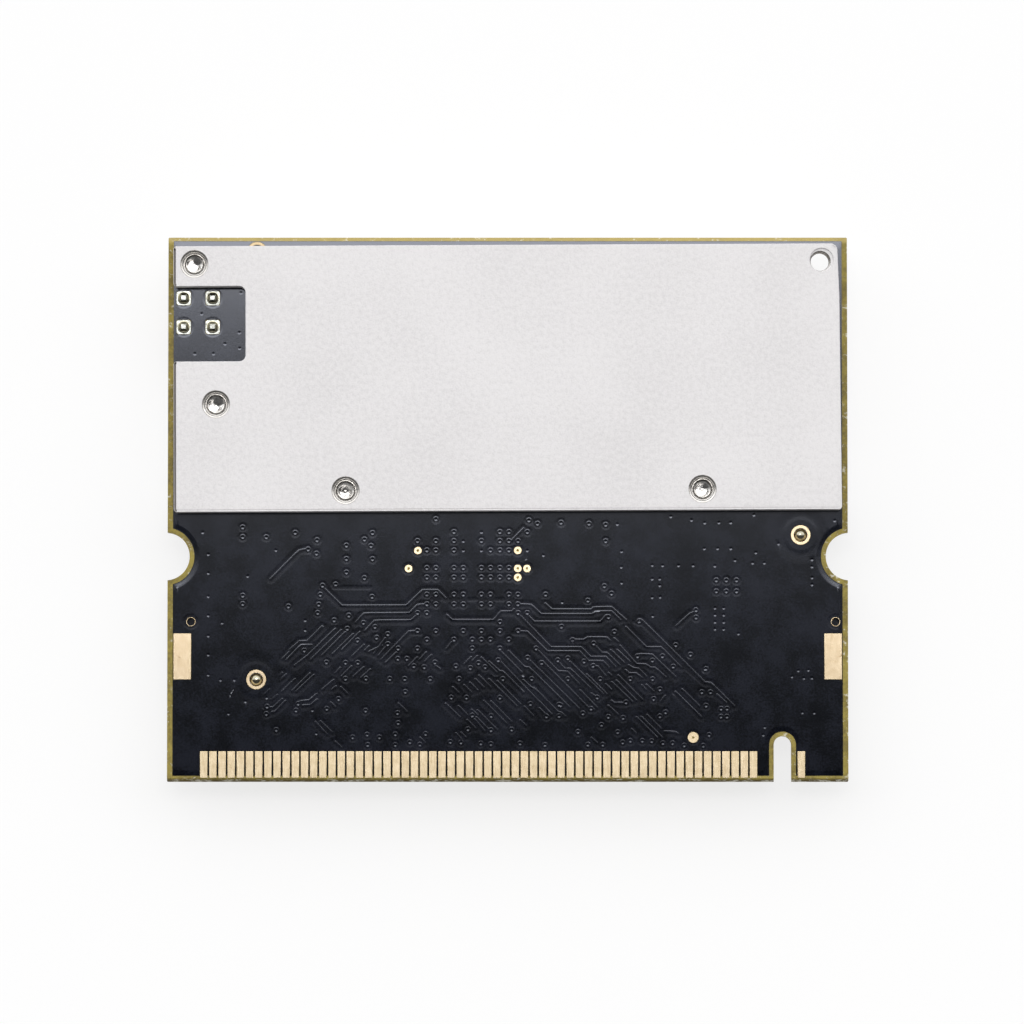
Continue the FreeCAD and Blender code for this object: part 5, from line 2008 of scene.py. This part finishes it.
@dataclass
class Plugs:
    """Round-ended plugs in the three plated holes."""

    base_radius: float = 0.58
    dome_radius: float = 0.585
    dome_rise: float = 0.38

    def build(self) -> None:
        """Makes the plugs."""
        form = Form()
        span, board = Span.of("plug_pins"), Span.of("board_laminate")
        shoulder = (board.z0 + board.z1) / 2
        spring = span.z1 - self.dome_rise
        for pin in Span.parts("plug_pins"):
            profile = [(0, span.z0), (self.base_radius, span.z0), (self.base_radius, shoulder)]
            profile += [(self.dome_radius, shoulder + 0.04)]
            for degrees in range(0, 90, 10):
                turn = math.radians(degrees)
                across, up = self.dome_radius * math.cos(turn), self.dome_rise * math.sin(turn)
                profile.append((across, spring + up))
            profile.append((0, span.z1))
            form.lathe(pin.centre, profile, 40)
        form.piece("hole_plugs", Looks.PLUG, ["plug_pins"], 40)


@dataclass
class Jack:
    """The small coaxial jack on the front, whose four legs are soldered on the back."""

    leg_half: float = 0.25
    leg_chamfer: float = 0.07
    flange_half: float = 1.85
    flange_thickness: float = 1.0
    flange_edge: float = 0.06
    barrel_radius: float = 1.8
    neck_depth: float = 0.12
    bore_radius: float = 1.22
    bore_groove: float = 0.07
    bore_depth: float = 2.3
    lip: float = 0.2
    insulator_radius: float = 0.95
    contact_radius: float = 0.42
    contact_bore: float = 0.2
    contact_reach: float = 1.4
    leg_hole_radius: float = 0.45
    leg_front_radius: float = 0.6
    plating: float = 0.05
    pad_corner: float = 0.24
    pad_edge: float = 0.012
    tin_wall: float = 0.012
    tin_rise: float = 0.006
    foot_half: float = 0.54
    foot_corner: float = 0.50
    rise: float = 0.34
    rise_steps: int = 8

    def __post_init__(self) -> None:
        """Reads the jack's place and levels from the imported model."""
        self.box = Span.of("jack_body")
        self.centre = self.box.centre
        self.seat = Span.of("front_solder_mask").z0
        self.board = Span.of("board_laminate")
        self.pads = Span.parts("jack_leg_sleeves")

    def build(self) -> None:
        """Makes the jack's pieces."""
        self.body()
        self.insulator()
        self.contact()
        self.leg_plating()
        self.solder()

    def body(self) -> None:
        """Flange, barrel and legs in one gold-plated piece."""
        form = Form()
        low, seat = self.box.z0, self.seat
        under = seat - self.flange_thickness
        bore_top = low + self.bore_depth
        barrel, bore, lip = self.barrel_radius, self.bore_radius, self.lip
        groove, neck = bore + self.bore_groove, barrel - self.neck_depth
        profile = [
            (self.insulator_radius, bore_top), (bore, bore_top), (bore, low + 0.9), (groove, low + 0.75),
            (groove, low + 0.6), (bore, low + 0.45), (bore, low + lip), (bore + lip, low),
            (barrel - 0.1, low), (barrel, low + 0.1), (barrel, low + 0.7), (neck, low + 0.8),
            (neck, low + 1.2), (barrel, low + 1.3), (barrel, under),
        ]
        form.lathe(self.centre, profile[::-1], 56)
        ring = circle(self.centre, barrel, 56)
        edge = self.flange_edge
        flange = square(self.centre, self.flange_half, 0.15)
        inner = inset(flange, edge)
        form.lid([inner, ring], under, False)
        hole = circle(self.centre, self.insulator_radius, 56)
        form.lid([inner, hole], seat, True)
        form.stack([at(inner, under), at(flange, under + edge), at(flange, seat - edge), at(inner, seat)])
        form.wall(at(hole, seat), at(hole, bore_top))
        for pad in self.pads:
            self.leg(form, pad.centre)
        form.piece("coaxial_jack", Looks.JACK_GOLD, ["jack_body"], 35)

    def leg(self, form: Form, centre: Place) -> None:
        """One square leg with a bevelled end.

        Args:
            form: The form that it goes into.
            centre: Its axis.
        """
        cut, top = self.leg_chamfer, self.box.z1
        post = square(centre, self.leg_half, 0.05)
        end, shoulder = inset(post, cut), inset(post, cut * 0.8)
        form.stack([at(post, self.seat), at(post, top - cut), at(shoulder, top - 0.015), at(end, top)])
        form.lid([end], top, True)

    def insulator(self) -> None:
        """The white ring between the jack's body and its contact."""
        form = Form()
        low = self.box.z0 + self.bore_depth
        outer, inner = self.insulator_radius, self.contact_radius
        profile = [
            (outer, self.seat), (outer, low + 0.05), (outer - 0.05, low), (inner + 0.04, low),
            (inner, low + 0.04), (inner, self.seat), (outer, self.seat),
        ]
        form.lathe(self.centre, profile)
        form.piece("jack_insulator_ring", Looks.INSULATOR, ["jack_insulator"], 35)

    def contact(self) -> None:
        """The sprung centre contact."""
        form = Form()
        tip = self.box.z0 + self.bore_depth - self.contact_reach
        outer, bore = self.contact_radius, self.contact_bore
        profile = [
            (0, self.seat), (outer, self.seat), (outer, tip + 0.5), (outer - 0.05, tip + 0.15),
            (outer - 0.1, tip), (bore + 0.03, tip), (bore, tip + 0.05), (bore, tip + self.contact_reach),
            (0, tip + self.contact_reach),
        ]
        form.lathe(self.centre, profile, 40)
        form.piece("jack_centre_contact", Looks.JACK_GOLD, ["jack_contact"], 35)

    def leg_plating(self) -> None:
        """The legs' plated holes: a square tinned pad on the back, a round one on the front."""
        form = Form()
        low, high = self.board.z0, self.board.z1
        hole, flare, edge = self.leg_hole_radius, self.leg_front_radius, self.pad_edge
        wall = hole + self.plating
        for span in self.pads:
            pad = span.outline(0, self.pad_corner, 5)
            inner = inset(pad, edge)
            ring = circle(span.centre, hole, 40)
            form.stack([at(pad, high), at(pad, span.z1 - edge), at(inner, span.z1)])
            form.lid([inner, ring], span.z1, True)
            form.lid([pad, circle(span.centre, wall, 40)], high, False)
            profile = [
                (wall, high), (wall, low), (flare, low), (flare, span.z0), (hole, span.z0), (hole, span.z1),
            ]
            form.lathe(span.centre, profile, 40)
            self.leg_cap(form, span.centre, span.z1 + self.rise - 0.03)
        form.piece("leg_hole_plating", Looks.PAD_TIN, ["jack_leg_sleeves"], 35)

    def leg_cap(self, form: Form, centre: Place, low: float) -> None:
        """The tin that wets a leg's end.

        Args:
            form: The form that it goes into.
            centre: The leg's axis.
            low: The tin's lowest level.
        """
        cut, top = self.leg_chamfer, self.box.z1
        post = square(centre, self.leg_half + self.tin_wall, 0.09, 5)
        bend, cap, crown = inset(post, 0.035), inset(post, 0.08), top + self.tin_rise
        form.stack([at(post, low), at(post, top - cut), at(bend, top - 0.012), at(cap, crown)])
        form.lid([cap], crown, True)

    def solder(self) -> None:
        """The solder round each leg: it wets the pad and climbs the leg in a hollow curve."""
        form = Form()
        for span in self.pads:
            foot, steps = span.z1, self.rise_steps
            ring = circle(span.centre, self.leg_hole_radius, 48)
            rings = [at(ring, self.seat), at(ring, foot - 0.001)]
            for k in range(steps + 1):
                share = k / steps
                reach = self.foot_half + (self.leg_half + 0.015 - self.foot_half) * share
                level = foot + self.rise * share**2.6
                corner = self.foot_corner * (1 - share) + 0.06 * share
                loop = square(span.centre, reach, corner, 12)
                rings.append(at(self.turned_start(loop, span.centre), level))
            form.stack([rings[0], rings[1]])
            form.stack(rings[2:])
            form.lid([flat(rings[2]), ring], foot, False)
            leg = square(span.centre, self.leg_half, 0.04, 12)
            form.lid([flat(rings[-1]), leg], foot + self.rise, True)
            form.lid([ring, leg], self.seat, False)
        form.piece("leg_solder", Looks.JOINT, ["jack_solder"], 50)

    @staticmethod
    def turned_start(loop: Loop, centre: Place) -> Loop:
        """The same loop round a centre, started at its point nearest to the direction of +X."""
        angles = [math.atan2(y - centre[1], x - centre[0]) % (2 * math.pi) for x, y in loop]
        first = angles.index(min(angles))
        return loop[first:] + loop[:first]


@dataclass
class Cover:
    """The die-cast cover on the front, which the card lies on."""

    rim: float = 0.14

    def build(self) -> None:
        """Makes the cover with its edges broken."""
        softened("cast_cover", "rf_cover", Looks.CAST, self.rim, 3, 35)


@dataclass
class FrontParts:
    """The chips and small parts on the card's front, most of them under the cover's level."""

    def build(self) -> None:
        """Breaks the edges of each part and gives it its finish."""
        for name, node, look, width in (
            ("baseband_cap", "baseband_package", Looks.MOULD, 0.08),
            ("baseband_board", "baseband_substrate", Looks.SUBSTRATE, 0.03),
            ("baseband_solder", "baseband_balls", Looks.TIN, 0.03),
            ("memory_case", "memory_chip", Looks.MOULD, 0.07),
            ("memory_feet", "memory_leads", Looks.TIN, 0.03),
            ("crystal_bases", "crystal_trays", Looks.CERAMIC, 0.05),
            ("crystal_caps", "crystal_lids", Looks.METAL_CAP, 0.09),
            ("regulator_case", "regulator_chip", Looks.MOULD, 0.08),
            ("regulator_feet", "regulator_leads", Looks.TIN, 0.04),
            ("inductor_block", "inductor_core", Looks.FERRITE, 0.05),
            ("inductor_feet", "inductor_terminals", Looks.TIN, 0.03),
            ("tantalum_cases", "tantalum_capacitors", Looks.TANTALUM, 0.07),
            ("tantalum_straps", "tantalum_terminals", Looks.TIN, 0.03),
            ("capacitor_bodies", "ceramic_capacitors", Looks.CAPACITOR, 0.025),
            ("capacitor_ends", "capacitor_terminals", Looks.TIN, 0.035),
            ("resistor_bodies", "chip_resistors", Looks.GLAZE, 0.02),
            ("resistor_ends", "resistor_terminals", Looks.TIN, 0.03),
            ("transceiver_case", "transceiver_chip", Looks.MOULD, 0.05),
            ("amplifier_cases", "amplifier_chips", Looks.MOULD, 0.04),
            ("switch_case", "antenna_switch", Looks.MOULD, 0.04),
            ("filter_block", "band_filter", Looks.CAPACITOR, 0.05),
            ("heat_pad", "thermal_pad", Looks.THERMAL, 0.05),
        ):
            softened(name, node, look, width)


def main() -> None:
    """Builds the card's pieces in order, then the camera and the studio."""
    logging.basicConfig(level=logging.INFO, format="%(message)s")
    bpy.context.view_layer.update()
    view = PhotoView()
    Board(view, Relief()).build()
    HeatPlate(PlateShape()).build()
    Screws().build()
    Plugs().build()
    Jack().build()
    Cover().build()
    FrontParts().build()
    view.camera()
    Studio().build()


if __name__ == "__main__":
    main()
